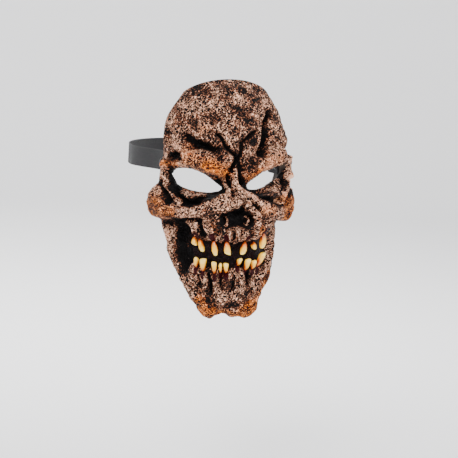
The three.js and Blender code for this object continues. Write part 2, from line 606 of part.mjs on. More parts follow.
function strap() {
  const low = STRAP_LEVEL - STRAP_WIDTH / 2;
  const high = STRAP_LEVEL + STRAP_WIDTH / 2;
  const lowPlan = strapPlan(low / FACE_HEIGHT);
  const highPlan = strapPlan(high / FACE_HEIGHT);
  const corner = ({ point, out }, shift, z) => (
    new THREE.Vector3(point.x + out.x * shift, point.y + out.y * shift, z));
  const half = STRAP_THICK / 2;
  return loft(lowPlan.map((station, k) => [
    corner(station, half, low),
    corner(highPlan[k], half, high),
    corner(highPlan[k], -half, high),
    corner(station, -half, low),
  ]));
}

// Where a rivet goes through the shell and the strap: its place on the plain skin and its direction
function rivetSeat(sign) {
  const up = STRAP_LEVEL / FACE_HEIGHT;
  const rim = section(alongAt(1, up)).rim;
  const across = sign * (rim - RIVET_INSET / QUARTER_ARC);
  const along = alongAt(across, up);
  return { point: skin(across, along), normal: skinNormal(across, along) };
}

// A turned piece on a rivet's axis: profile pairs of radius and height over the plain skin
function turned(sign, profile) {
  const { point, normal } = rivetSeat(sign);
  const geometry = new THREE.LatheGeometry(profile.map(([r, h]) => new THREE.Vector2(r, h)), RIVET_SIDES);
  const turn = new THREE.Quaternion().setFromUnitVectors(new THREE.Vector3(0, 1, 0), normal);
  geometry.applyQuaternion(turn);
  geometry.translate(point.x, point.y, point.z);
  return geometry;
}

const STACK = WALL + STRAP_GAP + STRAP_THICK; // shell and strap together, at a rivet

function rivet(sign) {
  const front = RIVET_HEAD_RINGS.map(({ radius, height }) => (
    [radius * RIVET_HEAD_RADIUS, RIVET_HEAD_GAP + height * RIVET_HEAD_HEIGHT]));
  const back = front.map(([radius, height]) => [radius, -STACK - height]).reverse();
  return turned(sign, [
    ...back,
    [SHANK_RADIUS, -STACK - RIVET_HEAD_GAP],
    [SHANK_RADIUS, RIVET_HEAD_GAP],
    ...front,
  ]);
}

function rivetHole(sign) {
  const radius = SHANK_RADIUS + SHANK_GAP;
  const margin = RIVET_HEAD_HEIGHT;
  return toManifold(turned(sign, [
    [0, -STACK - margin],
    [radius, -STACK - margin],
    [radius, margin],
    [0, margin],
  ]));
}

function piece(name, geometry, material) {
  const flat = geometry.index ? geometry.toNonIndexed() : geometry;
  flat.computeVertexNormals();
  const mesh = new THREE.Mesh(flat, material);
  mesh.name = name;
  return mesh;
}

const teeth = [
  ...UPPER_TEETH.map((row, k) => ({ name: `tooth_upper_${k + 1}`, row, shape: UPPER_RINGS })),
  ...LOWER_TEETH.map((row, k) => ({ name: `tooth_lower_${k + 1}`, row, shape: LOWER_RINGS })),
];

let shell = toManifold(plainShell());
for (const outline of Object.values(EYE_OUTLINES)) shell = shell.subtract(toManifold(cutter(outline)));
for (const { row, shape } of teeth) shell = shell.subtract(toManifold(tooth(row, shape, TOOTH_GAP)));
let band = toManifold(strap());
for (const sign of [-1, 1]) {
  shell = shell.subtract(rivetHole(sign));
  band = band.subtract(rivetHole(sign));
}

const mask = new THREE.Group();
mask.add(piece('mask_shell', fromManifold(shell), latex));
for (const { name, row, shape } of teeth) mask.add(piece(name, tooth(row, shape, 0), ivory));
mask.add(piece('head_strap', fromManifold(band), elastic));
mask.add(piece('strap_rivet_left', rivet(-1), blackMetal));
mask.add(piece('strap_rivet_right', rivet(1), blackMetal));

export default mask;
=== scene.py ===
import math
import bpy
import numpy as np
from mathutils import Matrix, Vector


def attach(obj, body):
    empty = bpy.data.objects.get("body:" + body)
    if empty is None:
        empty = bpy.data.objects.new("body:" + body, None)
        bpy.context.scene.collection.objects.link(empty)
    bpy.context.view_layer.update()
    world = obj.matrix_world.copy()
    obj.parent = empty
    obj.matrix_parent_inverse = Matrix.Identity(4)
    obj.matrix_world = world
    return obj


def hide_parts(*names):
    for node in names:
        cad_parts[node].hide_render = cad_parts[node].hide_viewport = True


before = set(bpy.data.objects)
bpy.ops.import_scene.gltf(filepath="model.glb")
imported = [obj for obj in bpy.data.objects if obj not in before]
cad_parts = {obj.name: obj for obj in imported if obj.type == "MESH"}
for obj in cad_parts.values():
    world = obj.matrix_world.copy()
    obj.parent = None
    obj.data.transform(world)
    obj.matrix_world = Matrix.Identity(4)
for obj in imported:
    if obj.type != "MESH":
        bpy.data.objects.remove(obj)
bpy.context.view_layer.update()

# The shell: one skin of cast latex, slush-moulded about 3 mm thick in a plaster mould of the sculpted
# skull, its eyes trimmed out by hand. Its form is a plain skin of level sections, with every brow, ridge
# and hollow laid over it as a raised or sunken form.
# Lengths are in metres. A place is (across, up): quarter turns from the middle, and a share of FACE_HEIGHT.
FACE_HEIGHT = 0.234
HALF_WIDTH = 0.066
FACE_DEPTH = 0.054
WALL = 0.003
GUM_BACKING = 0.0016
RELIEF = 0.010
QUARTER = math.pi / 2
QUARTER_ARC = QUARTER * (HALF_WIDTH + FACE_DEPTH) / 2

# Columns: along, up, half, front, side, droop, rim
SECTIONS = np.array([
    (-0.684, -0.573, 0.62, 0.37, 0.67, 0.17, 0.64),
    (-0.628, -0.58, 0.64, 0.13, 0.57, 0.18, 0.78),
    (-0.573, -0.568, 0.65, -0.09, 0.52, 0.18, 0.89),
    (-0.513, -0.513, 0.68, -0.17, 0.58, 0.15, 1.00),
    (-0.427, -0.427, 0.77, -0.24, 0.66, 0.115, 1.11),
    (-0.321, -0.321, 0.80, -0.32, 0.77, 0.06, 1.18),
    (-0.214, -0.214, 0.83, -0.37, 0.88, 0.02, 1.24),
    (-0.107, -0.107, 0.94, -0.33, 0.83, 0.00, 1.25),
    (0.00, 0.00, 0.97, -0.11, 0.79, 0.00, 1.19),
    (0.107, 0.107, 0.93, -0.09, 0.78, -0.01, 1.10),
    (0.214, 0.214, 0.93, 0.02, 0.84, -0.035, 1.07),
    (0.325, 0.325, 0.88, 0.19, 0.93, -0.07, 1.00),
    (0.427, 0.427, 0.73, 0.50, 1.02, -0.105, 0.74),
])
COLUMNS = ["along", "up", "half", "front", "side", "droop", "rim"]
LOWEST = SECTIONS[0, 0]
HIGHEST = SECTIONS[-1, 0]


def section(column, along):
    """A smooth value of one column of the sections at any place along the rows."""
    key = SECTIONS[:, 0]
    value = SECTIONS[:, COLUMNS.index(column)]
    before = np.maximum(np.arange(len(key)) - 1, 0)
    after = np.minimum(np.arange(len(key)) + 1, len(key) - 1)
    slope = (value[after] - value[before]) / (key[after] - key[before])
    i = np.clip(np.searchsorted(key, along) - 1, 0, len(key) - 2)
    step = key[i + 1] - key[i]
    t = (along - key[i]) / step
    s = 1 - t
    return (s * s * ((1 + 2 * t) * value[i] + t * step * slope[i])
            + t * t * ((1 + 2 * s) * value[i + 1] - s * step * slope[i + 1]))


def skin(across, along):
    """Points of the plain skin; across is in quarter turns from the middle."""
    turn = across * QUARTER
    side = section("side", along)
    x = HALF_WIDTH * section("half", along) * np.sin(turn)
    y = FACE_DEPTH * (side - (side - section("front", along)) * np.cos(turn))
    z = FACE_HEIGHT * (section("up", along) + section("droop", along) * (1 - np.cos(turn)))
    return np.stack([x, y, z], -1)


def skin_normal(across, along):
    step = 0.001
    across_way = skin(across + step, along) - skin(across - step, along)
    up_way = skin(across, along + step) - skin(across, along - step)
    normal = np.cross(across_way, up_way)
    return normal / np.linalg.norm(normal, axis=-1, keepdims=True)


# Columns: path of (across, up) places, reach, flat core, lift as a share of RELIEF
FORMS = {
    "forehead": ([(0.00, 0.36), (0.02, 0.25)], 0.148, 0.27, 0.40),
    "left bump": ([(-0.34, 0.225), (-0.31, 0.195), (-0.25, 0.165)], 0.047, 0.15, 0.50),
    "left bump groove": ([(-0.52, 0.185), (-0.42, 0.16), (-0.34, 0.145), (-0.25, 0.138)], 0.025, 0.06, -0.80),
    "left crease": ([(-0.01, 0.10), (-0.07, 0.13), (-0.13, 0.16), (-0.19, 0.195)], 0.017, 0.06, -0.60),
    "right crease": ([(0.00, 0.10), (0.04, 0.14), (0.05, 0.17), (0.11, 0.198), (0.20, 0.215)],
        0.016, 0.06, -0.45),
    "right long groove": ([(0.28, 0.135), (0.31, 0.17), (0.34, 0.205), (0.37, 0.245), (0.42, 0.285)],
        0.032, 0.12, -0.90),
    "left of the bridge": ([(-0.085, -0.005), (-0.07, 0.03), (-0.05, 0.07), (-0.01, 0.105)],
        0.017, 0.06, -0.55),
    "right of the bridge": ([(0.055, 0.005), (0.03, 0.03), (0.02, 0.07), (-0.01, 0.105)], 0.017, 0.06, -0.60),
    "right temple": ([(0.44, 0.205), (0.55, 0.215), (0.70, 0.17)], 0.065, 0.21, 0.50),
    "left temple": ([(-0.70, 0.15), (-0.58, 0.15), (-0.50, 0.18)], 0.053, 0.18, 0.45),
    "left brow": ([(-0.56, 0.098), (-0.40, 0.098), (-0.28, 0.078), (-0.16, 0.052)], 0.054, 0.30, 0.95),
    "right brow": ([(0.13, 0.042), (0.24, 0.072), (0.38, 0.10), (0.54, 0.12)], 0.052, 0.30, 0.95),
    "left inner roll": ([(-0.24, 0.148), (-0.15, 0.122), (-0.11, 0.085), (-0.10, 0.05)], 0.024, 0.18, 0.35),
    "right inner roll": ([(0.13, 0.15), (0.09, 0.11), (0.07, 0.07), (0.09, 0.035)], 0.024, 0.18, 0.35),
    "left lid": ([(-0.88, 0.045), (-0.76, 0.068), (-0.62, 0.066), (-0.46, 0.062)], 0.018, 0.24, 0.55),
    "right lid": ([(0.90, 0.07), (0.76, 0.086), (0.58, 0.085), (0.44, 0.083)], 0.018, 0.24, 0.55),
    "left socket": ([(-0.56, 0.004), (-0.46, 0.0), (-0.24, -0.006)], 0.061, 0.36, -1.25),
    "left socket side": ([(-0.735, 0.012), (-0.62, 0.01)], 0.05, 0.45, -0.55),
    "right socket": ([(0.56, 0.022), (0.44, 0.015), (0.22, -0.002)], 0.061, 0.36, -1.25),
    "right socket side": ([(0.79, 0.036), (0.62, 0.026)], 0.05, 0.45, -0.45),
    "left orbit rim": ([(-0.79, 0.068), (-0.84, 0.048), (-0.85, 0.016)], 0.026, 0.20, 0.75),
    "right orbit rim": ([(0.86, 0.094), (0.91, 0.07), (0.92, 0.044), (0.90, 0.014)], 0.027, 0.20, 1.00),
    "left lower rim": ([(-0.845, 0.01), (-0.80, -0.022), (-0.73, -0.05), (-0.67, -0.074), (-0.60, -0.094)],
        0.019, 0.18, 0.50),
    "right lower rim": ([(0.885, 0.02), (0.85, -0.006), (0.77, -0.03), (0.68, -0.056), (0.58, -0.082)],
        0.018, 0.18, 0.60),
    "left rim hollow": ([(-0.98, -0.024), (-0.90, -0.038), (-0.79, -0.066), (-0.71, -0.092)],
        0.024, 0.12, -0.95),
    "right rim hollow": ([(0.90, -0.024), (0.82, -0.052), (0.70, -0.088)], 0.018, 0.12, -0.60),
    "right ball top": ([(0.96, -0.078), (0.89, -0.052)], 0.044, 0.30, 1.00),
    "left lid groove": ([(-0.82, 0.088), (-0.70, 0.10), (-0.60, 0.092)], 0.019, 0.12, -0.50),
    "left eye groove": ([(-0.70, -0.04), (-0.63, -0.072), (-0.52, -0.09), (-0.40, -0.086), (-0.28, -0.06),
        (-0.18, -0.034)], 0.018, 0.12, -0.70),
    "right eye groove": ([(0.76, -0.004), (0.70, -0.03), (0.60, -0.06), (0.50, -0.078), (0.40, -0.08),
        (0.28, -0.06), (0.18, -0.034)], 0.018, 0.12, -0.70),
    "nose bridge": ([(-0.03, 0.04), (-0.02, 0.0), (0.02, -0.03), (-0.03, -0.085)], 0.031, 0.18, 0.70),
    "nose left ridge": ([(-0.13, 0.01), (-0.10, -0.02), (-0.09, -0.055)], 0.012, 0.12, 0.35),
    "nose left hollow": ([(-0.18, -0.016), (-0.14, -0.034)], 0.017, 0.12, -0.35),
    "right of the nose": ([(0.06, -0.05), (0.09, -0.085), (0.16, -0.115), (0.22, -0.14)], 0.016, 0.12, 0.45),
    "nose right slit": ([(0.11, -0.064), (0.15, -0.083), (0.20, -0.103)], 0.012, 0.12, -0.65),
    "nose right edge": ([(0.07, -0.036), (0.13, -0.064), (0.19, -0.084), (0.27, -0.102)], 0.014, 0.12, 0.35),
    "nose opening": ([(-0.13, -0.146), (0.01, -0.134), (0.12, -0.146)], 0.04, 0.42, -1.00),
    "peak of the nose": ([(0.03, -0.095), (0.02, -0.12)], 0.019, 0.18, -0.90),
    "left nostril": ([(-0.155, -0.155)], 0.018, 0.30, -0.40),
    "right nostril": ([(0.107, -0.149)], 0.018, 0.30, -0.40),
    "left nostril lip": ([(-0.131, -0.138), (-0.12, -0.155), (-0.145, -0.171)], 0.01, 0.20, 0.45),
    "right nostril lip": ([(0.134, -0.136), (0.155, -0.151), (0.124, -0.166)], 0.01, 0.20, 0.45),
    "left lid edge": ([(-0.70, 0.062), (-0.60, 0.064), (-0.46, 0.058), (-0.34, 0.042), (-0.22, 0.018)],
        0.012, 0.20, 0.30),
    "right lid edge": ([(0.14, 0.008), (0.24, 0.034), (0.36, 0.06), (0.48, 0.074), (0.60, 0.077)],
        0.012, 0.20, 0.30),
    "mouth": ([(-0.56, -0.292), (-0.30, -0.306), (0.0, -0.303), (0.28, -0.292), (0.46, -0.276)],
        0.08, 0.45, -0.75),
    "mouth slit": ([(-0.50, -0.302), (-0.20, -0.311), (0.0, -0.306), (0.26, -0.296), (0.46, -0.278)],
        0.017, 0.18, -0.40),
    "jaw shelf": ([(0.56, -0.335), (0.50, -0.362), (0.42, -0.382), (0.34, -0.405)], 0.015, 0.12, 0.40),
    "right jaw edge": ([(0.74, -0.35), (0.58, -0.41), (0.44, -0.46), (0.37, -0.51)], 0.036, 0.20, 0.35),
    "left jaw edge": ([(-0.80, -0.42), (-0.62, -0.465), (-0.45, -0.505)], 0.036, 0.20, 0.35),
    "left chin lobe": ([(-0.38, -0.53), (-0.26, -0.55)], 0.044, 0.20, 0.50),
    "right chin lobe": ([(0.39, -0.53), (0.24, -0.552)], 0.044, 0.20, 0.50),
    "chin notch": ([(-0.07, -0.55), (-0.05, -0.60)], 0.056, 0.12, -0.55),
}

# Forms that lie alike on both sides, given for the left one
PAIRED_FORMS = {
    "eye pad": ([(-0.60, -0.05), (-0.48, -0.058), (-0.34, -0.052)], 0.021, 0.18, 0.30),
    "temple hollow": ([(-1.12, 0.172), (-0.92, 0.172)], 0.046, 0.25, -0.80),
    "cheekbone": ([(-1.10, -0.128), (-0.85, -0.124), (-0.60, -0.124), (-0.40, -0.116), (-0.26, -0.086),
        (-0.16, -0.062)], 0.043, 0.30, 0.75),
    "cheekbone ball": ([(-1.04, -0.106), (-0.98, -0.116), (-0.86, -0.116)], 0.083, 0.30, 1.15),
    "cheek hollow": ([(-0.74, -0.22), (-0.73, -0.275), (-0.72, -0.325)], 0.077, 0.39, -1.25),
    "cheek step": ([(-0.72, -0.166), (-0.56, -0.162), (-0.42, -0.156)], 0.012, 0.12, -0.35),
    "ramus": ([(-0.98, -0.18), (-0.96, -0.26), (-0.93, -0.35), (-0.80, -0.405)], 0.036, 0.24, 0.45),
}

# Ridges over the roots of the teeth and grooves between them. Columns: across and up, across and up, lift
ROOT_REACH = 0.014
ROOT_CORE = 0.12
ROOTS = [
    (-0.57, -0.165, -0.52, -0.21, 0.30), (-0.47, -0.165, -0.45, -0.228, 0.35),
    (-0.36, -0.16, -0.30, -0.228, 0.40), (-0.27, -0.158, -0.24, -0.19, 0.30),
    (-0.17, -0.185, -0.175, -0.23, 0.35), (-0.12, -0.178, -0.10, -0.225, 0.30),
    (-0.02, -0.18, -0.02, -0.245, 0.40), (0.15, -0.178, 0.09, -0.205, 0.30),
    (0.09, -0.205, 0.06, -0.23, 0.30), (0.11, -0.205, 0.15, -0.232, 0.30),
    (0.24, -0.17, 0.24, -0.23, 0.35), (0.33, -0.165, 0.36, -0.195, 0.35),
    (-0.37, -0.375, -0.37, -0.445, 0.35), (-0.22, -0.378, -0.22, -0.45, 0.35),
    (-0.08, -0.36, -0.08, -0.45, 0.35), (0.08, -0.368, 0.11, -0.45, 0.40),
    (0.23, -0.395, 0.27, -0.46, 0.40), (0.27, -0.46, 0.34, -0.52, 0.25),
    (0.11, -0.45, 0.20, -0.485, 0.25), (-0.52, -0.405, -0.50, -0.445, 0.20),
    (-0.41, -0.165, -0.39, -0.215, -0.40), (-0.31, -0.385, -0.30, -0.46, -0.60),
    (-0.15, -0.38, -0.14, -0.44, -0.35), (-0.02, -0.37, 0.00, -0.45, -0.35),
    (0.17, -0.378, 0.19, -0.425, -0.55), (0.31, -0.395, 0.33, -0.435, -0.30),
    (-0.47, -0.395, -0.45, -0.435, -0.40), (-0.07, -0.185, -0.07, -0.235, -0.35),
    (0.04, -0.185, 0.03, -0.215, -0.35), (-0.24, -0.19, -0.235, -0.23, -0.30),
    (0.19, -0.195, 0.20, -0.225, -0.30),
]


def both_sides(table):
    """The rows of a table and the same rows mirrored; the path comes first in each."""
    return table + [([(-across, up) for across, up in row[0]], *row[1:]) for row in table]


ALL_FORMS = list(FORMS.values()) + both_sides(list(PAIRED_FORMS.values()))
ALL_FORMS += [([row[0:2], row[2:4]], ROOT_REACH, ROOT_CORE, row[4]) for row in ROOTS]


def to_segment(across, up, start, end):
    """The nearest point of a segment to each place, as a share of its length, and how far off it is."""
    px, py = (end[0] - start[0]) * QUARTER_ARC, (end[1] - start[1]) * FACE_HEIGHT
    qx, qy = (across - start[0]) * QUARTER_ARC, (up - start[1]) * FACE_HEIGHT
    t = np.clip((qx * px + qy * py) / max(px * px + py * py, 1e-12), 0, 1)
    return t, np.hypot(qx - t * px, qy - t * py)


def distance(across, up, path):
    """Distance from each place to a path of one or more places, in metres on the face."""
    segments = zip(path, path[1:] or path)
    return np.min([to_segment(across, up, start, end)[1] for start, end in segments], 0)


def bell(across, up, path, reach, core):
    """1 on a form, falling smoothly to 0 at its reach."""
    away = distance(across, up, path) / (reach * FACE_HEIGHT)
    return 0.5 + 0.5 * np.cos(math.pi * np.clip((away - core) / (1 - core), 0, 1))


BLOCK_POINTS = 144
BLOCK_PITCH = 0.0006
LUMP_SPREAD = 0.22


def noise_block(size, seed):
    """A block of smooth noise whose lumps are all about that size in metres."""
    points = np.random.default_rng(seed).standard_normal((BLOCK_POINTS,) * 3)
    wave = np.fft.fftfreq(BLOCK_POINTS, BLOCK_PITCH) * size
    wave = np.sqrt(wave[:, None, None] ** 2 + wave[None, :, None] ** 2 + wave[None, None, :] ** 2)
    block = np.fft.ifftn(np.fft.fftn(points) * np.exp(-((wave - 1) / LUMP_SPREAD) ** 2)).real
    return block / block.std()


def in_block(block, points, zoom=1.0):
    """Values of a block at points in metres; it repeats past its sides."""
    place = points / (BLOCK_PITCH * zoom)
    low = np.floor(place).astype(int)
    part = place - low
    total = np.zeros(points.shape[:-1])
    for corner in np.ndindex(2, 2, 2):
        near = (low + corner) % BLOCK_POINTS
        share = np.prod(np.where(corner, part, 1 - part), -1)
        total += share * block[near[..., 0], near[..., 1], near[..., 2]]
    return total


BLEND = 2.5
# The waver of hand-modelled edges. Columns: size, radians for each across, radians for each up, start
ACROSS_WAVES = [(0.016, 11, 40, 1), (0.010, 23, -57, 0)]
UP_WAVES = [(0.005, 17, -31, 2), (0.003, 29, 61, 0)]


def waver(waves, across, up):
    return sum(size * np.sin(turn_across * across + turn_up * up + start)
               for size, turn_across, turn_up, start in waves)


def relief(across, up):
    """Height of the sculpted face over the plain skin."""
    a = across + waver(ACROSS_WAVES, across, up)
    b = up + waver(UP_WAVES, across, up)
    raised = np.zeros(across.shape)
    sunken = np.zeros(across.shape)
    for path, reach, core, lift in ALL_FORMS:
        amount = (abs(lift) * bell(a, b, path, reach, core)) ** BLEND
        if lift > 0:
            raised += amount
        else:
            sunken += amount
    return RELIEF * (raised ** (1 / BLEND) - sunken ** (1 / BLEND))


def smooth(value):
    t = np.clip(value, 0, 1)
    return t * t * (3 - 2 * t)


# The eyes trimmed out of the cast, as (across, up) places round the edge
EYE_OUTLINES = [
    [(-0.775, 0.012), (-0.77, 0.03), (-0.71, 0.045), (-0.62, 0.051), (-0.50, 0.052), (-0.36, 0.036),
     (-0.24, 0.012), (-0.15, -0.006), (-0.14, -0.015), (-0.20, -0.024), (-0.32, -0.03), (-0.48, -0.032),
     (-0.62, -0.028), (-0.72, -0.014)],
    [(0.875, 0.056), (0.82, 0.071), (0.62, 0.067), (0.48, 0.062), (0.37, 0.048), (0.25, 0.022),
     (0.14, 0.00), (0.135, -0.01), (0.20, -0.014), (0.32, -0.015), (0.46, -0.01), (0.60, 0.00),
     (0.73, 0.012), (0.83, 0.028), (0.875, 0.04)],
]


OUTLINE_STEPS = 8


def rounded(outline):
    """A smooth closed curve through the places of an outline."""
    p = np.array(outline)
    before, after, beyond = np.roll(p, 1, 0), np.roll(p, -1, 0), np.roll(p, -2, 0)
    curve = []
    for t in np.linspace(0, 1, OUTLINE_STEPS, endpoint=False):
        curve.append(0.5 * (2 * p + (after - before) * t + (2 * before - 5 * p + 4 * after - beyond) * t * t
                            + (3 * p - before - 3 * after + beyond) * t ** 3))
    return np.stack(curve, 1).reshape(-1, 2)


def inside(across, up, outline):
    """True where a place lies within a closed outline."""
    found = np.zeros(across.shape, bool)
    for (x0, y0), (x1, y1) in zip(outline, np.roll(outline, -1, 0)):
        if y0 == y1:
            continue
        crosses = (up < y0) != (up < y1)
        found ^= crosses & (across < x0 + (up - y0) * (x1 - x0) / (y1 - y0))
    return found


def nearest_on(across, up, outline):
    """The nearest places on a closed outline, and how far off they are in metres."""
    best = np.full(across.shape, 1e9)
    spot = np.stack([across, up], -1)
    for start, end in zip(outline, np.roll(outline, -1, 0)):
        t, away = to_segment(across, up, start, end)
        closer = away < best
        best = np.where(closer, away, best)
        spot = np.where(closer[..., None], start + t[..., None] * (end - start), spot)
    return spot, best


SHELL_COLUMNS = 268
SHELL_ROWS = 288
openings = [rounded(outline) for outline in EYE_OUTLINES]
row_share, side_share = np.meshgrid(np.linspace(0, 1, SHELL_ROWS + 1), np.linspace(-1, 1, SHELL_COLUMNS + 1),
                                    indexing="ij")
along = LOWEST + (HIGHEST - LOWEST) * row_share
across = side_share * section("rim", along)
up = skin(across, along)[..., 2] / FACE_HEIGHT

# Cells of the grid that an opening takes away, in blocks of two by two
removed = np.zeros((SHELL_ROWS // 2, SHELL_COLUMNS // 2), bool)
for outline in openings:
    removed |= inside(across[1::2, 1::2], up[1::2, 1::2], outline)


def on_edge(cells):
    """Corners of cells that touch both a kept and a removed cell."""
    kept = np.pad(~cells, 1, constant_values=False)
    gone = np.pad(cells, 1, constant_values=False)
    near_kept = kept[:-1, :-1] | kept[1:, :-1] | kept[:-1, 1:] | kept[1:, 1:]
    near_gone = gone[:-1, :-1] | gone[1:, :-1] | gone[:-1, 1:] | gone[1:, 1:]
    return near_kept & near_gone


# The corners along each opening move onto its outline, and those around them follow softly
fine_removed = np.repeat(np.repeat(removed, 2, 0), 2, 1)
edge_corners = on_edge(fine_removed)
shift = np.zeros(across.shape + (2,))
near = np.zeros(across.shape, bool)
FOLLOW = 0.008
FOLLOW_PASSES = 40
ROW_PASSES = 4
from_edge = np.full(across.shape, 1.0)
for outline in openings:
    spot, away = nearest_on(across, up, outline)
    mine = edge_corners & (away < FOLLOW)
    shift[mine] = (spot - np.stack([across, up], -1))[mine]
    near |= away < FOLLOW
    from_edge = np.minimum(from_edge, away)
loose = near & ~edge_corners
for step in range(FOLLOW_PASSES):
    around = sum(np.roll(shift, way, axis) for axis in (0, 1) for way in (1, -1)) / 4
    shift[loose] = around[loose]
across = across + shift[..., 0]
up_wanted = up + shift[..., 1]
for step in range(ROW_PASSES):
    along = along + np.where(near, up_wanted - skin(across, along)[..., 2] / FACE_HEIGHT, 0)
plain = skin(across, along)
up = plain[..., 2] / FACE_HEIGHT
normal = skin_normal(across, along)

# The sculpted height, and how much of it is left towards the sides and ends of the shell
RIM_BAND = 0.012
height = relief(across, up)
to_side = (1 - abs(side_share)) * section("rim", along) * QUARTER_ARC
to_end = np.minimum(row_share, 1 - row_share) * (HIGHEST - LOWEST) * FACE_HEIGHT
fade = smooth(to_side / RIM_BAND) * smooth(to_end / RIM_BAND)
in_mouth = bell(across, up, *FORMS["mouth"][:3])


def blurred(field, cells):
    """The field averaged twice over that many cells each way."""
    for axis in (0, 1):
        for step in range(2):
            total = np.cumsum(np.pad(field, [(cells + 1, cells) if k == axis else (0, 0) for k in (0, 1)],
                                     mode="edge"), axis)
            size = field.shape[axis]
            field = (np.take(total, range(2 * cells + 1, 2 * cells + 1 + size), axis)
                     - np.take(total, range(size), axis)) / (2 * cells + 1)
    return field


SHELL_BREADTH = 0.22


def cells_over(metres):
    return round(metres * SHELL_COLUMNS / SHELL_BREADTH)


# The edge of each opening runs smoothly over the forms that it cuts
EDGE_BAND = 0.007
EDGE_BLUR = 0.004
FINE_BLUR = 0.005
BROAD_BLUR = 0.016
at_edge = smooth(1 - from_edge / EDGE_BAND)
height = height * (1 - at_edge) + blurred(height, cells_over(EDGE_BLUR)) * at_edge
hollow_depth = blurred(height, cells_over(FINE_BLUR)) - height
broad_hollow = blurred(height, cells_over(BROAD_BLUR)) - height


def spots(table):
    """How strongly each place lies on the spots of a table of path, reach, core, strength."""
    total = np.zeros(across.shape)
    for path, reach, core, strength in table:
        total = np.maximum(total, strength * bell(across, up, path, reach, core))
    return total


# Where the black wash was left thick, and where the forehead is darker: path, reach, core, strength
INK_SPOTS = both_sides([
    ([(-0.56, -0.084), (-0.45, -0.09), (-0.3, -0.064), (-0.18, -0.036)], 0.022, 0.45, 0.9),
    ([(-0.56, -0.048), (-0.32, -0.044)], 0.03, 0.4, 0.2),
    ([(-0.22, -0.01), (-0.16, -0.03)], 0.03, 0.4, 0.6),
])
INK_SPOTS += [
    ([(-0.73, 0.025), (-0.74, -0.005), (-0.68, -0.04), (-0.6, -0.068)], 0.026, 0.62, 1.0),
    ([(0.8, 0.01), (0.76, -0.014), (0.7, -0.04), (0.6, -0.068)], 0.028, 0.62, 1.0),
    ([(-0.96, -0.026), (-0.84, -0.054), (-0.73, -0.086)], 0.024, 0.45, 1.0),
    ([(-0.84, 0.095), (-0.7, 0.105), (-0.62, 0.095)], 0.022, 0.3, 0.5),
    ([(0.86, -0.04), (0.74, -0.078)], 0.018, 0.3, 0.6),
    ([(-0.7, -0.21), (-0.72, -0.27), (-0.7, -0.34)], 0.075, 0.62, 1.0),
    ([(0.66, -0.21), (0.68, -0.27), (0.66, -0.33)], 0.058, 0.62, 1.0),
    ([(0.47, -0.2), (0.5, -0.26), (0.52, -0.31)], 0.016, 0.4, 0.9),
    ([(-0.52, -0.298), (-0.2, -0.307), (0.0, -0.303), (0.28, -0.293), (0.46, -0.275)], 0.062, 0.62, 1.0),
    ([(-0.125, -0.152), (0.0, -0.138), (0.12, -0.15)], 0.04, 0.66, 1.0),
    ([(0.03, -0.1), (0.02, -0.13)], 0.018, 0.5, 1.0),
    ([(-0.02, 0.085), (0.0, 0.11), (-0.07, 0.13), (-0.13, 0.16), (-0.18, 0.19)], 0.011, 0.15, 0.5),
    (FORMS["right crease"][0], 0.011, 0.15, 0.35),
    ([(0.28, 0.145), (0.31, 0.17), (0.34, 0.205), (0.37, 0.245), (0.42, 0.285)], 0.022, 0.2, 0.45),
    ([(-0.48, 0.175), (-0.4, 0.16), (-0.32, 0.145), (-0.25, 0.138)], 0.022, 0.15, 0.45),
    # The next three rows darken soft patches on the forehead, right of the middle
    ([(0.0, 0.3), (0.06, 0.27), (0.1, 0.24)], 0.034, 0.1, 0.35),
    ([(0.03, 0.19), (0.0, 0.21)], 0.02, 0.1, 0.4),
    ([(0.12, 0.11), (0.16, 0.16), (0.24, 0.19)], 0.03, 0.2, 0.3),
    ([(-0.085, -0.005), (-0.07, 0.03), (-0.05, 0.07)], 0.014, 0.2, 0.5),
    ([(0.055, 0.005), (0.03, 0.03), (0.02, 0.07)], 0.014, 0.2, 0.6),
    (FORMS["nose right slit"][0], 0.012, 0.4, 0.9),
    ([(-0.41, -0.165), (-0.39, -0.215)], 0.018, 0.4, 0.9),
    ([(-0.31, -0.385), (-0.3, -0.46)], 0.018, 0.3, 0.6),
    ([(0.17, -0.378), (0.19, -0.425)], 0.016, 0.3, 0.6),
    ([(-0.3, -0.44), (-0.31, -0.47)], 0.022, 0.2, 0.5),
    ([(-0.35, -0.49), (-0.33, -0.5)], 0.018, 0.2, 0.4),
    ([(0.31, -0.41), (0.31, -0.43)], 0.018, 0.3, 0.5),
    ([(0.19, -0.39), (0.19, -0.41)], 0.018, 0.3, 0.5),
    ([(-0.05, -0.515), (0.1, -0.515)], 0.022, 0.3, 0.4),
]
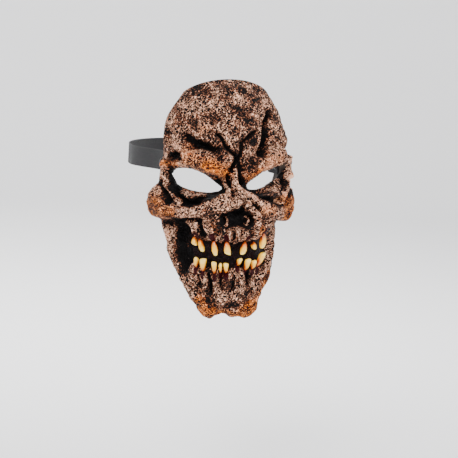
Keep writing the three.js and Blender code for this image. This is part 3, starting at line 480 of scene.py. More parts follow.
# Ridges and lips where the bone colour was brushed on again over the black; along the lid edges and round the
# nostril lips these are painted highlights
BONE_AND_HIGHLIGHT_SPOTS = [
    ([(-0.81, 0.066), (-0.845, 0.035), (-0.84, 0.0), (-0.77, -0.04), (-0.69, -0.07), (-0.62, -0.092)],
     0.016, 0.35, 0.8),
    ([(0.82, 0.086), (0.885, 0.054), (0.88, 0.015), (0.82, -0.016), (0.74, -0.038), (0.64, -0.064),
      (0.56, -0.086)], 0.012, 0.4, 1.0),
    # Painted highlights round the lips of the nostrils
    ([(-0.15, -0.134), (-0.126, -0.142), (-0.119, -0.156), (-0.136, -0.169), (-0.16, -0.171)],
     0.007, 0.4, 1.2),
    ([(0.112, -0.13), (0.14, -0.137), (0.152, -0.151), (0.134, -0.164), (0.108, -0.167)],
     0.007, 0.4, 1.2),
    # Painted highlights along the lid edges
    (FORMS["left lid edge"][0], 0.01, 0.4, 0.7),
    (FORMS["right lid edge"][0], 0.01, 0.4, 0.6),
    ([(-0.13, 0.012), (-0.1, -0.018), (-0.09, -0.055)], 0.009, 0.35, 0.7),
    (FORMS["nose right edge"][0], 0.009, 0.35, 0.7),
    ([(0.09, -0.085), (0.16, -0.115), (0.22, -0.14)], 0.01, 0.35, 0.6),
    ([(-0.1, -0.49), (0.0, -0.484), (0.1, -0.49), (0.15, -0.502)], 0.01, 0.35, 0.6),
    ([(0.35, -0.028), (0.5, -0.034), (0.6, -0.028)], 0.01, 0.3, 0.5),
    ([(-0.6, -0.044), (-0.48, -0.05), (-0.34, -0.045)], 0.012, 0.3, 0.6),
]
# Where rust-orange was dabbed over the bone colour
RUST_SPOTS = [
    ([(-0.3, 0.07), (-0.14, 0.05)], 0.055, 0.3, 1.0),
    ([(-0.5, 0.095), (-0.36, 0.08)], 0.05, 0.2, 0.65),
    ([(0.12, 0.028), (0.2, 0.05)], 0.036, 0.3, 0.9),
    ([(0.3, 0.085), (0.46, 0.1)], 0.05, 0.2, 0.4),
    ([(-0.86, 0.062), (-0.66, 0.068)], 0.022, 0.3, 0.8),
    ([(-1.06, -0.125), (-0.88, -0.12)], 0.07, 0.35, 1.0),
    ([(-0.86, -0.13), (-0.7, -0.128)], 0.04, 0.3, 0.8),
    ([(0.7, -0.11), (0.9, -0.12)], 0.075, 0.4, 1.0),
    ([(0.26, -0.11), (0.36, -0.112)], 0.03, 0.3, 0.5),
    ([(-0.27, -0.18), (-0.25, -0.19)], 0.028, 0.3, 0.5),
    ([(-0.54, 0.12), (-0.5, 0.13)], 0.05, 0.2, 0.5),
    ([(-0.37, 0.215), (-0.34, 0.22)], 0.035, 0.2, 0.4),
    ([(0.62, -0.37), (0.5, -0.43), (0.42, -0.5), (0.36, -0.54)], 0.034, 0.35, 0.9),
    ([(-0.46, -0.525), (-0.28, -0.56)], 0.062, 0.55, 1.0),
    ([(0.38, -0.525), (0.18, -0.57)], 0.062, 0.55, 1.0),
    ([(-0.2, -0.58), (0.12, -0.58)], 0.044, 0.5, 1.0),
    ([(0.29, -0.2), (0.31, -0.19)], 0.024, 0.4, 0.8),
]
ink = np.clip(spots(INK_SPOTS), 0, 1)
rust = np.clip(spots(RUST_SPOTS), 0, 1)
bright = np.clip(spots(BONE_AND_HIGHLIGHT_SPOTS), 0, 1)
ink = ink * (1 - bright)

# The soft modelling between the forms, and the raised grain worked all over the clay: short worm-like
# ridges round small pits
GRAIN_SIZE = 0.0024
GRAIN_HEIGHT = 0.00035
GRAIN_BEND = 0.0009
COARSE_SIZE = 0.0048
COARSE_SEED = 5
GRAIN_SEED = 6
MODELLED_HEIGHT = 0.00025
MODELLED_ZOOM = 1.8
PATCH_ZOOM = 4.0
BEND_ZOOM = 2.5
BEND_OFFSETS = (0.0, 0.31, 0.62)
GRAIN_FILLED = 0.6
sculpted = plain + normal * height[..., None]
coarse_block = noise_block(COARSE_SIZE, COARSE_SEED)
bend = np.stack([in_block(coarse_block, sculpted + offset, BEND_ZOOM) for offset in BEND_OFFSETS], -1)
worms = in_block(noise_block(GRAIN_SIZE, GRAIN_SEED), sculpted + GRAIN_BEND * bend)
grain = np.tanh(worms)
patches = in_block(coarse_block, sculpted, PATCH_ZOOM)
modelled = MODELLED_HEIGHT * in_block(coarse_block, sculpted, MODELLED_ZOOM)
height = (height + modelled + GRAIN_HEIGHT * grain * (1 - GRAIN_FILLED * ink)) * fade
smooth_height = blurred(height, 1)
wall = WALL + GUM_BACKING * in_mouth
outer = plain + normal * height[..., None]
inner = (plain + normal * (smooth_height - wall)[..., None])[::2, ::2]

# Faces: the outside, the inside at half the fineness, and the cut edge that joins them
outer_index = np.arange(outer.size // 3).reshape(outer.shape[:2])
inner_index = outer_index.size + np.arange(inner.size // 3).reshape(inner.shape[:2])


def quads(index, keep):
    return np.stack([index[:-1, :-1], index[:-1, 1:], index[1:, 1:], index[1:, :-1]], -1)[keep]


faces = [quads(outer_index, ~fine_removed), quads(inner_index, ~removed)[:, ::-1]]
outer_count, inner_count = len(faces[0]), len(faces[1])
walls = []
STEPS = {"low": (0, 0, 0, 1), "right": (0, 1, 1, 1), "high": (1, 1, 1, 0), "left": (1, 0, 0, 0)}
NEXT = {"low": (-1, 0), "right": (0, 1), "high": (1, 0), "left": (0, -1)}
gone = np.pad(removed, 1, constant_values=True)
for side, (j0, i0, j1, i1) in STEPS.items():
    dj, di = NEXT[side]
    open_side = ~removed & gone[1 + dj:1 + dj + removed.shape[0], 1 + di:1 + di + removed.shape[1]]
    for j, i in zip(*np.nonzero(open_side)):
        start, end = (2 * (j + j0), 2 * (i + i0)), (2 * (j + j1), 2 * (i + i1))
        middle = outer_index[(start[0] + end[0]) // 2, (start[1] + end[1]) // 2]
        a, b = outer_index[start], outer_index[end]
        c, d = inner_index[j + j0, i + i0], inner_index[j + j1, i + i1]
        walls += [(b, middle, d), (middle, a, c), (middle, c, d)]


def make_mesh(name, points, faces):
    """A new object from points in metres and lists of faces."""
    mesh = bpy.data.meshes.new(name)
    mesh.from_pydata([tuple(p) for p in points], [], [tuple(int(k) for k in face) for face in faces])
    mesh.polygons.foreach_set("use_smooth", [True] * len(mesh.polygons))
    obj = bpy.data.objects.new(name, mesh)
    bpy.context.scene.collection.objects.link(obj)
    return obj


def attribute(obj, name, values):
    """A number for every point of a mesh, which a material can read."""
    layer = obj.data.attributes.new(name, "FLOAT", "POINT")
    layer.data.foreach_set("value", np.asarray(values, np.float32).ravel())


all_faces = [tuple(f) for f in faces[0]] + [tuple(f) for f in faces[1]] + walls
points = np.concatenate([outer.reshape(-1, 3), inner.reshape(-1, 3)])
shell = make_mesh("skull_shell", points, all_faces)
shell.data.polygons.foreach_set("use_smooth", np.arange(len(all_faces)) < outer_count + inner_count)

# The teeth in their sockets, whose edges are painted as gums: upper and lower ones, from left to right.
# Columns: root and tip as (across, up), width, width at the tip, slant of the tip
UPPER_TEETH = [
    ((-0.54, -0.232), (-0.515, -0.268), 0.66, 1.00, 0.6),
    ((-0.46, -0.236), (-0.402, -0.29), 0.62, 0.70, 0.3),
    ((-0.29, -0.24), (-0.25, -0.303), 0.78, 0.45, 0.2),
    ((-0.135, -0.24), (-0.112, -0.294), 0.84, 0.90, 0.5),
    ((0.108, -0.24), (0.07, -0.295), 0.76, 0.65, -0.4),
    ((0.255, -0.244), (0.245, -0.276), 0.66, 0.90, 0.4),
    ((0.362, -0.206), (0.33, -0.27), 0.86, 0.50, -0.5),
]
LOWER_TEETH = [
    ((-0.492, -0.364), (-0.48, -0.316), 0.60, 0.60, 0.3),
    ((-0.395, -0.376), (-0.39, -0.316), 0.86, 1.00, -0.2),
    ((-0.248, -0.382), (-0.262, -0.325), 0.66, 0.90, 0.2),
    ((-0.176, -0.378), (-0.19, -0.33), 0.46, 0.50, -0.3),
    ((-0.112, -0.376), (-0.126, -0.328), 0.66, 1.00, 0.1),
    ((0.045, -0.35), (0.063, -0.314), 0.60, 0.80, -0.5),
    ((0.14, -0.367), (0.156, -0.312), 0.70, 1.00, -0.3),
    ((0.232, -0.363), (0.24, -0.319), 0.58, 0.90, -0.3),
    ((0.33, -0.355), (0.408, -0.29), 0.82, 0.65, -0.4),
]
# How the paint lies: black in every hollow, beige-pink dry-brushed over the raised grain, rust on the brows,
# cheekbones and jaw, and dark red round the gums. Broad hollows also get painted shade, and broad raised
# forms painted light.
FULL_HOLLOW = 0.0035
FULL_RIDGE = 0.003
FULL_BROAD_LIGHT_AND_SHADE = 0.006
BROAD_SHADE_SHARE = 0.35
RIDGE_SHARE = 0.6
BRIGHT_CLEARS = 0.8
GUM_REACH = 0.017
GUM_CORE = 0.35
PAST_ROOT = 0.35
MOUTH_GUM = 0.34
# Darkness of the hollows: the black wash, plus painted shade in broad hollows. Lightness of the ridges: the
# dry-brush, plus painted light on broad raised forms
wash_and_painted_shade = smooth(hollow_depth / FULL_HOLLOW) + BROAD_SHADE_SHARE * smooth(broad_hollow / FULL_BROAD_LIGHT_AND_SHADE)
wash_and_painted_shade = wash_and_painted_shade * (1 - BRIGHT_CLEARS * bright)
ridge_brush_and_painted_light = RIDGE_SHARE * (smooth(-hollow_depth / FULL_RIDGE) + smooth(-broad_hollow / FULL_BROAD_LIGHT_AND_SHADE))
gum = MOUTH_GUM * in_mouth
for root, tip, width, tip_width, slant in UPPER_TEETH + LOWER_TEETH:
    past = np.array(root) + PAST_ROOT * (np.array(root) - np.array(tip))
    gum = np.maximum(gum, bell(across, up, [past, root], GUM_REACH * (0.6 + 0.4 * width), GUM_CORE))
for name, field in (("grain", grain), ("hollow", wash_and_painted_shade), ("ridge_brush_and_painted_light", ridge_brush_and_painted_light), ("bright", bright), ("gum", gum),
                    ("ink", ink), ("rust", rust), ("patches", patches)):
    attribute(shell, name, np.concatenate([field.ravel(), field[::2, ::2].ravel()]))


def linear(red, green, blue):
    """A colour given as 0 to 255, as it reads on a paint card, in the shader's own terms."""
    def one(c):
        c = c / 255
        return c / 12.92 if c <= 0.04045 else ((c + 0.055) / 1.055) ** 2.4
    return (one(red), one(green), one(blue), 1)


def put(material, node, **settings):
    """Set up a node. A small first letter sets a property, a capital an input, and _N input N."""
    for key, value in settings.items():
        if key[0].islower():
            setattr(node, key, value)
            continue
        socket = node.inputs[int(key[1:])] if key[0] == "_" else node.inputs[key.replace("_", " ")]
        if isinstance(value, bpy.types.NodeSocket):
            material.node_tree.links.new(value, socket)
        else:
            socket.default_value = value


def add(material, kind, **settings):
    node = material.node_tree.nodes.new("ShaderNode" + kind)
    put(material, node, **settings)
    return node


def calc(material, operation, first, second=0.0):
    return add(material, "Math", operation=operation, _0=first, _1=second).outputs[0]


def plus(material, total, value, weight):
    return calc(material, "ADD", total, calc(material, "MULTIPLY", value, weight))


def blend(material, factor, first, second):
    return add(material, "Mix", data_type="RGBA", _0=factor, _6=first, _7=second).outputs[2]


def spread(material, value, low, high, to_low=0.0, to_high=1.0):
    return add(material, "MapRange", interpolation_type="SMOOTHSTEP", Value=value, From_Min=low,
               From_Max=high, To_Min=to_low, To_Max=to_high).outputs[0]


def read(material, name):
    return add(material, "Attribute", attribute_name=name).outputs["Fac"]


def noise(material, size, detail=2.0, rough=0.5, distort=0.0):
    """Noise whose lumps are about that size in metres."""
    where = add(material, "TexCoord").outputs["Object"]
    return add(material, "TexNoise", Vector=where, Scale=1 / size, Detail=detail, Roughness=rough,
               Distortion=distort).outputs["Fac"]


def bump(material, height, strength, distance):
    return add(material, "Bump", Strength=strength, Distance=distance, Height=height).outputs[0]


def new_material(name):
    """A material and its shader."""
    material = bpy.data.materials.new(name)
    material.use_nodes = True
    return material, material.node_tree.nodes["Principled BSDF"]


BLACK_PAINT = linear(5, 3, 3)
UMBER = linear(54, 28, 17)
BONE_PINK = linear(178, 109, 78)
# The palest bone colour: dry-brush on the ridge tops, and a painted highlight there as well
PALE_BONE_AND_HIGHLIGHT = linear(255, 198, 164)
RUST_ORANGE = linear(250, 142, 44)
RUST_DEEP = linear(184, 82, 22)
RUST_DARK = linear(84, 32, 8)
GUM_RED = linear(48, 10, 14)

# The paint's level says how far a place stands out to the brush, from the black wash up to the bone colour;
# it also carries the painted shade of broad hollows and the painted light of broad raised forms
SPECKLE_SIZE = 0.0016
BLOTCH_SIZE = 0.014
LEVEL_OFFSET = -0.50
SQUIGGLE_WEIGHT = 0.90
SPECKLE_WEIGHT = 0.90
BRUSHED = (0.02, 0.42)
HIGHLIGHT = (0.45, 1.15)
UMBER_UNDER = (-0.25, 0.12)
RUST_UNDER = (-0.5, 0.0)
GUM_EDGE = (0.55, 0.95)
# The weights on the hollows and on the raised forms also carry painted shade and painted light
LEVEL_WEIGHTS = {"grain": 0.80, "patches": 0.38, "rust": 0.25, "ridge_brush_and_painted_light": 0.30, "hollow": -0.80, "ink": -1.7,
                 "bright": 0.80, "gum": -1.2}
painted, skin_shader = new_material("painted_latex")
speckle = noise(painted, SPECKLE_SIZE, 2.0, 0.6)
wiggle = noise(painted, GRAIN_SIZE, 0.0, 0.5, 0.9)
off_line = calc(painted, "ABSOLUTE", calc(painted, "SUBTRACT", wiggle, 0.5))
squiggles = spread(painted, off_line, 0.02, 0.12, 1.0, -1.0)
level = plus(painted, LEVEL_OFFSET, squiggles, SQUIGGLE_WEIGHT)
level = plus(painted, level, speckle, SPECKLE_WEIGHT)
for name, weight in LEVEL_WEIGHTS.items():
    level = plus(painted, level, read(painted, name), weight)
brushed = spread(painted, level, *BRUSHED)
highlight = spread(painted, level, *HIGHLIGHT)
blotches = spread(painted, noise(painted, BLOTCH_SIZE, 2.0), 0.3, 0.6, 0.70, 1.0)
rusty = calc(painted, "MULTIPLY", read(painted, "rust"), blotches)
# Ridge tops go to the palest bone, partly dry-brush and partly a painted highlight; the rust is lightened the
# same way
bone = blend(painted, highlight, BONE_PINK, PALE_BONE_AND_HIGHLIGHT)
orange = blend(painted, highlight, RUST_DEEP, RUST_ORANGE)
top_coat = blend(painted, rusty, bone, orange)
under_coat = blend(painted, spread(painted, level, *UMBER_UNDER), BLACK_PAINT, UMBER)
rusty_under = calc(painted, "MULTIPLY", rusty, spread(painted, level, *RUST_UNDER))
under_coat = blend(painted, rusty_under, under_coat, RUST_DARK)
paint = blend(painted, brushed, under_coat, top_coat)
gums = spread(painted, plus(painted, read(painted, "gum"), speckle, 0.6), *GUM_EDGE)
rough = plus(painted, spread(painted, level, -0.4, 0.8, 0.60, 0.68), gums, -0.36)
put(painted, skin_shader, Base_Color=blend(painted, gums, paint, GUM_RED), Roughness=rough,
    Specular_IOR_Level=0.11, Normal=bump(painted, level, 0.8, 0.0007))

# The back of the cast is bare latex, tinted dark, with the soft mottling of a poured skin
raw, raw_shader = new_material("raw_latex")
mottle = spread(raw, noise(raw, 0.012, 4.0), 0.3, 0.7)
put(raw, raw_shader, Base_Color=blend(raw, mottle, linear(52, 42, 36), linear(84, 68, 58)), Roughness=0.6,
    Normal=bump(raw, noise(raw, 0.003, 3.0), 0.4, 0.0006))

shell.data.materials.append(painted)
shell.data.materials.append(raw)
slots = np.zeros(len(all_faces), np.int32)
slots[outer_count:outer_count + inner_count] = 1
shell.data.polygons.foreach_set("material_index", slots)
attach(shell, "root")
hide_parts("mask_shell")


# The teeth: sixteen of cast ivory-coloured resin, each set by its root in its own socket in the gum. They
# are glossy, pale at the biting end, and stained amber and brown towards the root; their sides are painted
# darker amber as shade.
TOOTH_WIDTH = 0.008
TOOTH_DEPTH = 0.0064
TOOTH_STAND = 0.0048
TOOTH_ROUNDING = 0.0011
SMALLEST_END = 0.25
SLANT_FROM = 0.4
SIDE_POWER = 0.65
FRONT_POWER = 0.8
# Columns: at along the tooth, width, depth, stand; the tip's width is given for each tooth
UPPER_RINGS = [
    (0.00, 0.45, 0.35, 0.10), (0.30, 0.82, 0.80, 0.75), (0.66, 1.00, 0.95, 1.00), (1.00, 1.00, 0.50, 0.80),
]
LOWER_RINGS = [
    (0.00, 0.40, 0.35, 0.10), (0.34, 0.72, 0.80, 0.78), (0.78, 1.00, 0.90, 1.00), (1.00, 1.00, 0.55, 0.85),
]
TOOTH_STEPS = 22
TOOTH_SIDES = 28
# A small patch round a place: its size, and the places in it as shares of that
PATCH = 0.003
PATCH_PLACES = [(0, 0), (1, 1), (-1, 1), (1, -1), (-1, -1), (1.6, 0), (-1.6, 0), (0, 1.6), (0, -1.6)]
HALVINGS = 26


def along_at(across_at, up_at):
    """The place along the rows where the plain skin has that height."""
    low, high = SECTIONS[2, 0], HIGHEST
    for step in range(HALVINGS):
        middle = (low + high) / 2
        if skin(np.array(across_at), np.array(middle))[2] < up_at * FACE_HEIGHT:
            low = middle
        else:
            high = middle
    return (low + high) / 2


def plain_at(across_at, up_at):
    """The point of the plain skin at one place, and the way straight out of it."""
    place, row = np.array(across_at), np.array(along_at(across_at, up_at))
    return skin(place, row), skin_normal(place, row)


def patch_relief(across_at, up_at):
    """The sculpted height, averaged over a small patch round one place."""
    place = np.array(PATCH_PLACES) * (PATCH / QUARTER_ARC, PATCH / FACE_HEIGHT) + (across_at, up_at)
    return relief(place[:, 0], place[:, 1]).mean()


def ring_faces(rings, sides):
    """The faces of a tube through rings of points, and those of its two ends."""
    tube = []
    for k in range(rings - 1):
        for s in range(sides):
            n = (s + 1) % sides
            tube.append((k * sides + s, k * sides + n, (k + 1) * sides + n, (k + 1) * sides + s))
    last = (rings - 1) * sides
    return tube + [tuple(range(sides))[::-1], tuple(range(last, last + sides))]


def power(value, exponent):
    return math.copysign(abs(value) ** exponent, value)


def tooth(name, root, tip, width, tip_width, slant, rings):
    """A tooth lofted through rings from its root to its tip, with both ends rounded over."""
    (start, start_normal), (end, end_normal) = plain_at(*root), plain_at(*tip)
    gum_level = patch_relief(*root)
    length = np.linalg.norm(end - start)
    down = (end - start) / length
    side = np.cross(start_normal + end_normal, down)
    side = side / np.linalg.norm(side)
    forward = np.cross(down, side)
    rings = np.array(rings)
    rings[-1, 1] = tip_width
    points, shade, edge = [], [], []
    for t in np.linspace(0, 1, TOOTH_STEPS + 1):
        at, ring_width, ring_depth, stand = [np.interp(t, rings[:, 0], rings[:, c]) for c in range(4)]
        close = min(min(t, 1 - t) * length / TOOTH_ROUNDING, 1)
        rounding = max(math.sqrt(1 - (1 - close) ** 2), SMALLEST_END)
        half_depth = TOOTH_DEPTH * ring_depth / 2
        centre = start + down * at * length + forward * (gum_level + TOOTH_STAND * stand - half_depth)
        for turn in np.linspace(0, 2 * math.pi, TOOTH_SIDES, endpoint=False):
            sideways = power(math.cos(turn), SIDE_POWER) * TOOTH_WIDTH * width * ring_width / 2 * rounding
            outward = power(math.sin(turn), FRONT_POWER) * half_depth * rounding
            slanted = slant * sideways * max(0.0, t - SLANT_FROM) / (1 - SLANT_FROM)
            points.append(centre + side * sideways + forward * outward + down * slanted)
            shade.append(t)
            # Marks the sides of the tooth, turned away from the front, for painted shade
            edge.append(1 - max(0.0, math.sin(turn)))
    obj = make_mesh(name, points, ring_faces(TOOTH_STEPS + 1, TOOTH_SIDES))
    attribute(obj, "length", shade)
    attribute(obj, "edge", edge)
    return obj


AMBER = linear(204, 82, 2)
IVORY = linear(255, 194, 48)
ROOT_BROWN = linear(70, 24, 12)
TIP_IVORY = linear(255, 234, 140)
enamel, enamel_shader = new_material("ivory_enamel")
mottle = calc(enamel, "SUBTRACT", noise(enamel, 0.004, 3.0), 0.5)
stain_and_side_shade = plus(enamel, read(enamel, "length"), mottle, 0.5)
# Painted shade: the sides of each tooth go darker amber
stain_and_side_shade = plus(enamel, stain_and_side_shade, read(enamel, "edge"), -0.30)
tooth_colour = blend(enamel, spread(enamel, stain_and_side_shade, 0.04, 0.56), AMBER, IVORY)
tooth_colour = blend(enamel, spread(enamel, stain_and_side_shade, -0.10, 0.16), ROOT_BROWN, tooth_colour)
tip_amount = spread(enamel, stain_and_side_shade, 0.55, 0.95, 0.0, 0.6)
put(enamel, enamel_shader, Base_Color=blend(enamel, tip_amount, tooth_colour, TIP_IVORY), Roughness=0.24,
    Coat_Weight=0.2, Coat_Roughness=0.12, Normal=bump(enamel, noise(enamel, 0.0016, 2.0), 0.35, 0.0004))

for row, teeth, rings in (("upper", UPPER_TEETH, UPPER_RINGS), ("lower", LOWER_TEETH, LOWER_RINGS)):
    for k, (root, tip, width, tip_width, slant) in enumerate(teeth, 1):
        piece = tooth(f"ivory_{row}_{k}", root, tip, width, tip_width, slant, rings)
        piece.data.materials.append(enamel)
        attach(piece, "root")
        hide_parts(f"tooth_{row}_{k}")


# The strap: flat black woven elastic, 20 mm wide, which runs level in one loop behind the shell. Its ends
# lap inside the shell's side edges, where a rivet goes through both.
STRAP_WIDTH = 0.020
STRAP_THICK = 0.0015
STRAP_GAP = 0.0005
STRAP_LEVEL = 0.014
STRAP_LAP = 0.014
LOOP_HALF_BREADTH = 0.076
LOOP_MIDDLE = 0.112
LOOP_BACK = 0.197
RIB_COUNT = 9
RIB_HEIGHT = 0.00022
LAP_STEPS = 12
SIDE_STEPS = 24
BACK_STEPS = 60
ACROSS_STEPS = 36


def rim_at(up_at):
    """How far round the shell its edge lies at one height."""
    return float(section("rim", np.array(along_at(1.0, up_at))))


def strap_plan(up_at):
    """Points and outward directions of the strap's middle at one height, on the right half."""
    rim = rim_at(up_at)
    middle = WALL + STRAP_GAP + STRAP_THICK / 2
    stations = []
    for t in np.linspace(0, 1, LAP_STEPS + 1):
        point, out = plain_at(rim - STRAP_LAP / QUARTER_ARC * (1 - t), up_at)
        stations.append(((point - out * middle)[:2], out[:2] / np.linalg.norm(out[:2])))
    leave, out = stations[-1]
    heading = np.array([-out[1], out[0]])
    reach = LOOP_MIDDLE - leave[1]
    p = [leave, leave + heading * reach / 3, np.array([LOOP_HALF_BREADTH, LOOP_MIDDLE - reach / 3]),
         np.array([LOOP_HALF_BREADTH, LOOP_MIDDLE])]
    for t in np.linspace(0, 1, SIDE_STEPS + 1)[1:]:
        s = 1 - t
        point = s ** 3 * p[0] + 3 * s * s * t * p[1] + 3 * s * t * t * p[2] + t ** 3 * p[3]
        way = s * s * (p[1] - p[0]) + 2 * s * t * (p[2] - p[1]) + t * t * (p[3] - p[2])
        way = way / np.linalg.norm(way)
        stations.append((point, np.array([way[1], -way[0]])))
    deep = LOOP_BACK - LOOP_MIDDLE
    for turn in np.linspace(0, QUARTER, BACK_STEPS + 1)[1:]:
        point = np.array([LOOP_HALF_BREADTH * math.cos(turn), LOOP_MIDDLE + deep * math.sin(turn)])
        out = np.array([deep * math.cos(turn), LOOP_HALF_BREADTH * math.sin(turn)])
        stations.append((point, out / np.linalg.norm(out)))
    return stations


def both_halves(stations):
    """The stations of the whole loop, from the left end round the back to the right end."""
    left = [(point * (-1, 1), out * (-1, 1)) for point, out in stations[:-1]]
    return left + stations[::-1]


low_level, high_level = STRAP_LEVEL - STRAP_WIDTH / 2, STRAP_LEVEL + STRAP_WIDTH / 2
low_plan = both_halves(strap_plan(low_level / FACE_HEIGHT))
high_plan = both_halves(strap_plan(high_level / FACE_HEIGHT))
section_shape = []
for k in range(ACROSS_STEPS + 1):
    t = k / ACROSS_STEPS
    rib = RIB_HEIGHT * (0.5 - 0.5 * math.cos(2 * math.pi * RIB_COUNT * t))
    section_shape.append((t, STRAP_THICK / 2 - RIB_HEIGHT + rib))
section_shape += [(t, -half) for t, half in section_shape[::-1]]
points, run, band_across = [], [], []
length = 0.0
for k, ((low_point, low_out), (high_point, high_out)) in enumerate(zip(low_plan, high_plan)):
    if k:
        length += np.linalg.norm(low_point - low_plan[k - 1][0])
    for t, shift_out in section_shape:
        point = low_point * (1 - t) + high_point * t
        out = low_out * (1 - t) + high_out * t
        out = out / np.linalg.norm(out)
        flat = point + out * shift_out
        points.append((flat[0], flat[1], low_level + STRAP_WIDTH * t))
        run.append(length)
        band_across.append(t)
strap = make_mesh("elastic_strap", points, ring_faces(len(low_plan), len(section_shape)))
attribute(strap, "run", run)
attribute(strap, "band", band_across)

elastic, elastic_shader = new_material("black_elastic")
THREAD_PITCH = 0.0011
run_wave = calc(elastic, "SINE", calc(elastic, "MULTIPLY", read(elastic, "run"), 2 * math.pi / THREAD_PITCH))
band_wave = calc(elastic, "SINE", calc(elastic, "MULTIPLY", read(elastic, "band"), 4 * math.pi * RIB_COUNT))
weave = calc(elastic, "MULTIPLY", run_wave, band_wave)
thread = plus(elastic, noise(elastic, 0.0006, 3.0), weave, 0.5)
elastic_colour = blend(elastic, spread(elastic, thread, 0.1, 1.0), linear(10, 10, 11), linear(34, 33, 36))
put(elastic, elastic_shader, Base_Color=elastic_colour, Roughness=0.85, Sheen_Weight=0.1,
    Normal=bump(elastic, thread, 0.7, 0.0003))
strap.data.materials.append(elastic)
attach(strap, "root")
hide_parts("head_strap")


# The rivets: two domed steel rivets, lacquered black, set from outside through shell and strap and
# spread over a second dome inside.
SHANK_RADIUS = 0.0016
RIVET_HEAD_RADIUS = 0.0042
RIVET_HEAD_HEIGHT = 0.0022
RIVET_HEAD_GAP = 0.0006
RIVET_INSET = 0.007
RIM_SHARE = 0.2
CROWN_RADIUS = 0.00001
RIVET_SIDES = 48
DOME_STEPS = 10
STACK = WALL + STRAP_GAP + STRAP_THICK


def dome(base, height_sign):
    """Radius and height pairs of a rivet head from its rim to its crown."""
    pairs = []
    for t in np.linspace(0, QUARTER, DOME_STEPS):
        height = RIVET_HEAD_HEIGHT * (RIM_SHARE + (1 - RIM_SHARE) * math.sin(t))
        pairs.append((max(RIVET_HEAD_RADIUS * math.cos(t), CROWN_RADIUS), base + height_sign * height))
    return pairs


def rivet(name, sign):
    """A rivet through shell and strap, on the side that the sign gives."""
    up_at = STRAP_LEVEL / FACE_HEIGHT
    across_at = sign * (rim_at(up_at) - RIVET_INSET / QUARTER_ARC)
    point, axis = [Vector(part) for part in plain_at(across_at, up_at)]
    back = -STACK - RIVET_HEAD_GAP
    profile = dome(back, -1)[::-1] + [(RIVET_HEAD_RADIUS, back), (SHANK_RADIUS, back)]
    profile += [(SHANK_RADIUS, RIVET_HEAD_GAP), (RIVET_HEAD_RADIUS, RIVET_HEAD_GAP)] + dome(RIVET_HEAD_GAP, 1)
    turned = Vector((0, 0, 1)).rotation_difference(axis).to_matrix()
    points = []
    for radius, height in profile:
        for turn in np.linspace(0, 2 * math.pi, RIVET_SIDES, endpoint=False):
            points.append(point + turned @ Vector((radius * math.cos(turn), radius * math.sin(turn), height)))
    return make_mesh(name, points, ring_faces(len(profile), RIVET_SIDES))


lacquer, lacquer_shader = new_material("black_lacquer")
wear = spread(lacquer, noise(lacquer, 0.0012, 4.0), 0.5, 0.72)
put(lacquer, lacquer_shader, Base_Color=blend(lacquer, wear, linear(22, 22, 24), linear(62, 60, 60)),
    Metallic=0.7, Roughness=spread(lacquer, wear, 0.0, 1.0, 0.28, 0.5),
    Normal=bump(lacquer, noise(lacquer, 0.0007, 2.0), 0.2, 0.0002))
for side_name, sign in (("left", -1), ("right", 1)):
    piece = rivet(f"domed_rivet_{side_name}", sign)
    piece.data.materials.append(lacquer)
    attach(piece, "root")
    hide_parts(f"strap_rivet_{side_name}")


# The setting: a pale floor that curves up into a backdrop all round, five soft lights and the camera,
# which looks at the face from a little to its right and above, and is turned so that the mask leans
# slightly over.
FLOOR_LEVEL = -0.34
FLOOR_MIDDLE = 0.8
BACKDROP_AT = 3.4
BACKDROP_HEIGHT = 4.0
SWEEP = 1.0
SWEEP_STEPS = 12
SWEEP_SIDES = 72
sweep_line = [(FLOOR_MIDDLE, FLOOR_LEVEL)]
for turn in np.linspace(0, QUARTER, SWEEP_STEPS + 1):
    rise = SWEEP * (1 - math.cos(turn))
    sweep_line.append((BACKDROP_AT - SWEEP * (1 - math.sin(turn)), FLOOR_LEVEL + rise))
sweep_line.append((BACKDROP_AT, FLOOR_LEVEL + BACKDROP_HEIGHT))
sweep_points = []
for radius, level_at in sweep_line:
    for turn in np.linspace(0, 2 * math.pi, SWEEP_SIDES, endpoint=False):
        sweep_points.append((radius * math.cos(turn), radius * math.sin(turn), level_at))
sweep_faces = [face[::-1] for face in ring_faces(len(sweep_line), SWEEP_SIDES)[:-1]]
sweep = make_mesh("pale_sweep", sweep_points, sweep_faces)
paper, paper_shader = new_material("pale_paper")
put(paper, paper_shader, Base_Color=linear(246, 246, 247), Roughness=0.9)
sweep.data.materials.append(paper)

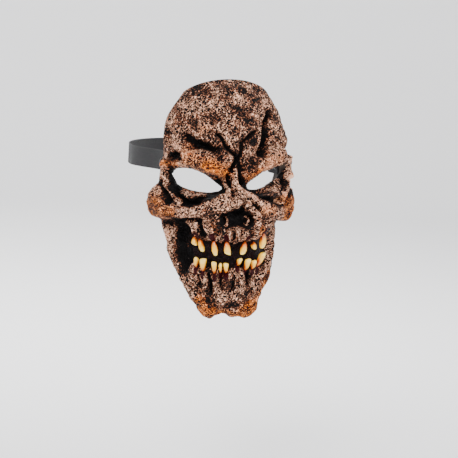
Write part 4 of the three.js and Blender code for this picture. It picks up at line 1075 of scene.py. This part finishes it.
PHOTO_SIDE = 458
MM_PER_PIXEL = 0.984
TURN, LIFT, LEAN = math.radians(-18), math.radians(8), math.radians(3)
ORIGIN_AT = (235.0, 182.8)
DISTANCE = 1.9
SENSOR = 36
back = Vector((math.sin(TURN) * math.cos(LIFT), -math.cos(TURN) * math.cos(LIFT), math.sin(LIFT)))
right = Vector((math.cos(TURN), math.sin(TURN), 0))
upward = back.cross(right)
right, upward = (right * math.cos(LEAN) + upward * math.sin(LEAN),
                 upward * math.cos(LEAN) - right * math.sin(LEAN))
scale = MM_PER_PIXEL / 1000
middle = (right * (PHOTO_SIDE / 2 - ORIGIN_AT[0]) - upward * (PHOTO_SIDE / 2 - ORIGIN_AT[1])) * scale
camera_data = bpy.data.cameras.new("camera")
camera_data.sensor_width = SENSOR
camera_data.lens = SENSOR * DISTANCE / (PHOTO_SIDE * scale)
camera = bpy.data.objects.new("camera", camera_data)
bpy.context.scene.collection.objects.link(camera)
turned = Matrix((right, upward, back)).transposed().to_4x4()
turned.translation = middle + back * DISTANCE
camera.matrix_world = turned
bpy.context.scene.camera = camera

# Columns: name, place, side, watts, aim; the wash lights the backdrop, and the others the face
FACE_AIM = Vector((0, 0, -0.02))
LIGHTS = [
    ("wash", (0.0, 0.55, 1.2), 0.6, 70, Vector((0, BACKDROP_AT, -0.1))),
    ("key", (-0.7, -1.1, 1.1), 0.7, 35, FACE_AIM),
    ("fill", (1.2, -0.9, 0.35), 0.9, 14, FACE_AIM),
    ("crown", (0.2, 0.5, 1.3), 0.8, 12, FACE_AIM),
    ("low", (-0.2, -1.2, -0.15), 0.6, 5, FACE_AIM),
]
WORLD_STRENGTH = 0.34
for name, place, side, watts, aim in LIGHTS:
    data = bpy.data.lights.new(name, "AREA")
    data.size = side
    data.energy = watts
    lamp = bpy.data.objects.new(name, data)
    lamp.location = place
    lamp.rotation_euler = (aim - lamp.location).to_track_quat("-Z", "Y").to_euler()
    bpy.context.scene.collection.objects.link(lamp)
world = bpy.data.worlds.new("studio")
world.use_nodes = True
world.node_tree.nodes["Background"].inputs["Color"].default_value = (1, 1, 1, 1)
world.node_tree.nodes["Background"].inputs["Strength"].default_value = WORLD_STRENGTH
bpy.context.scene.world = world
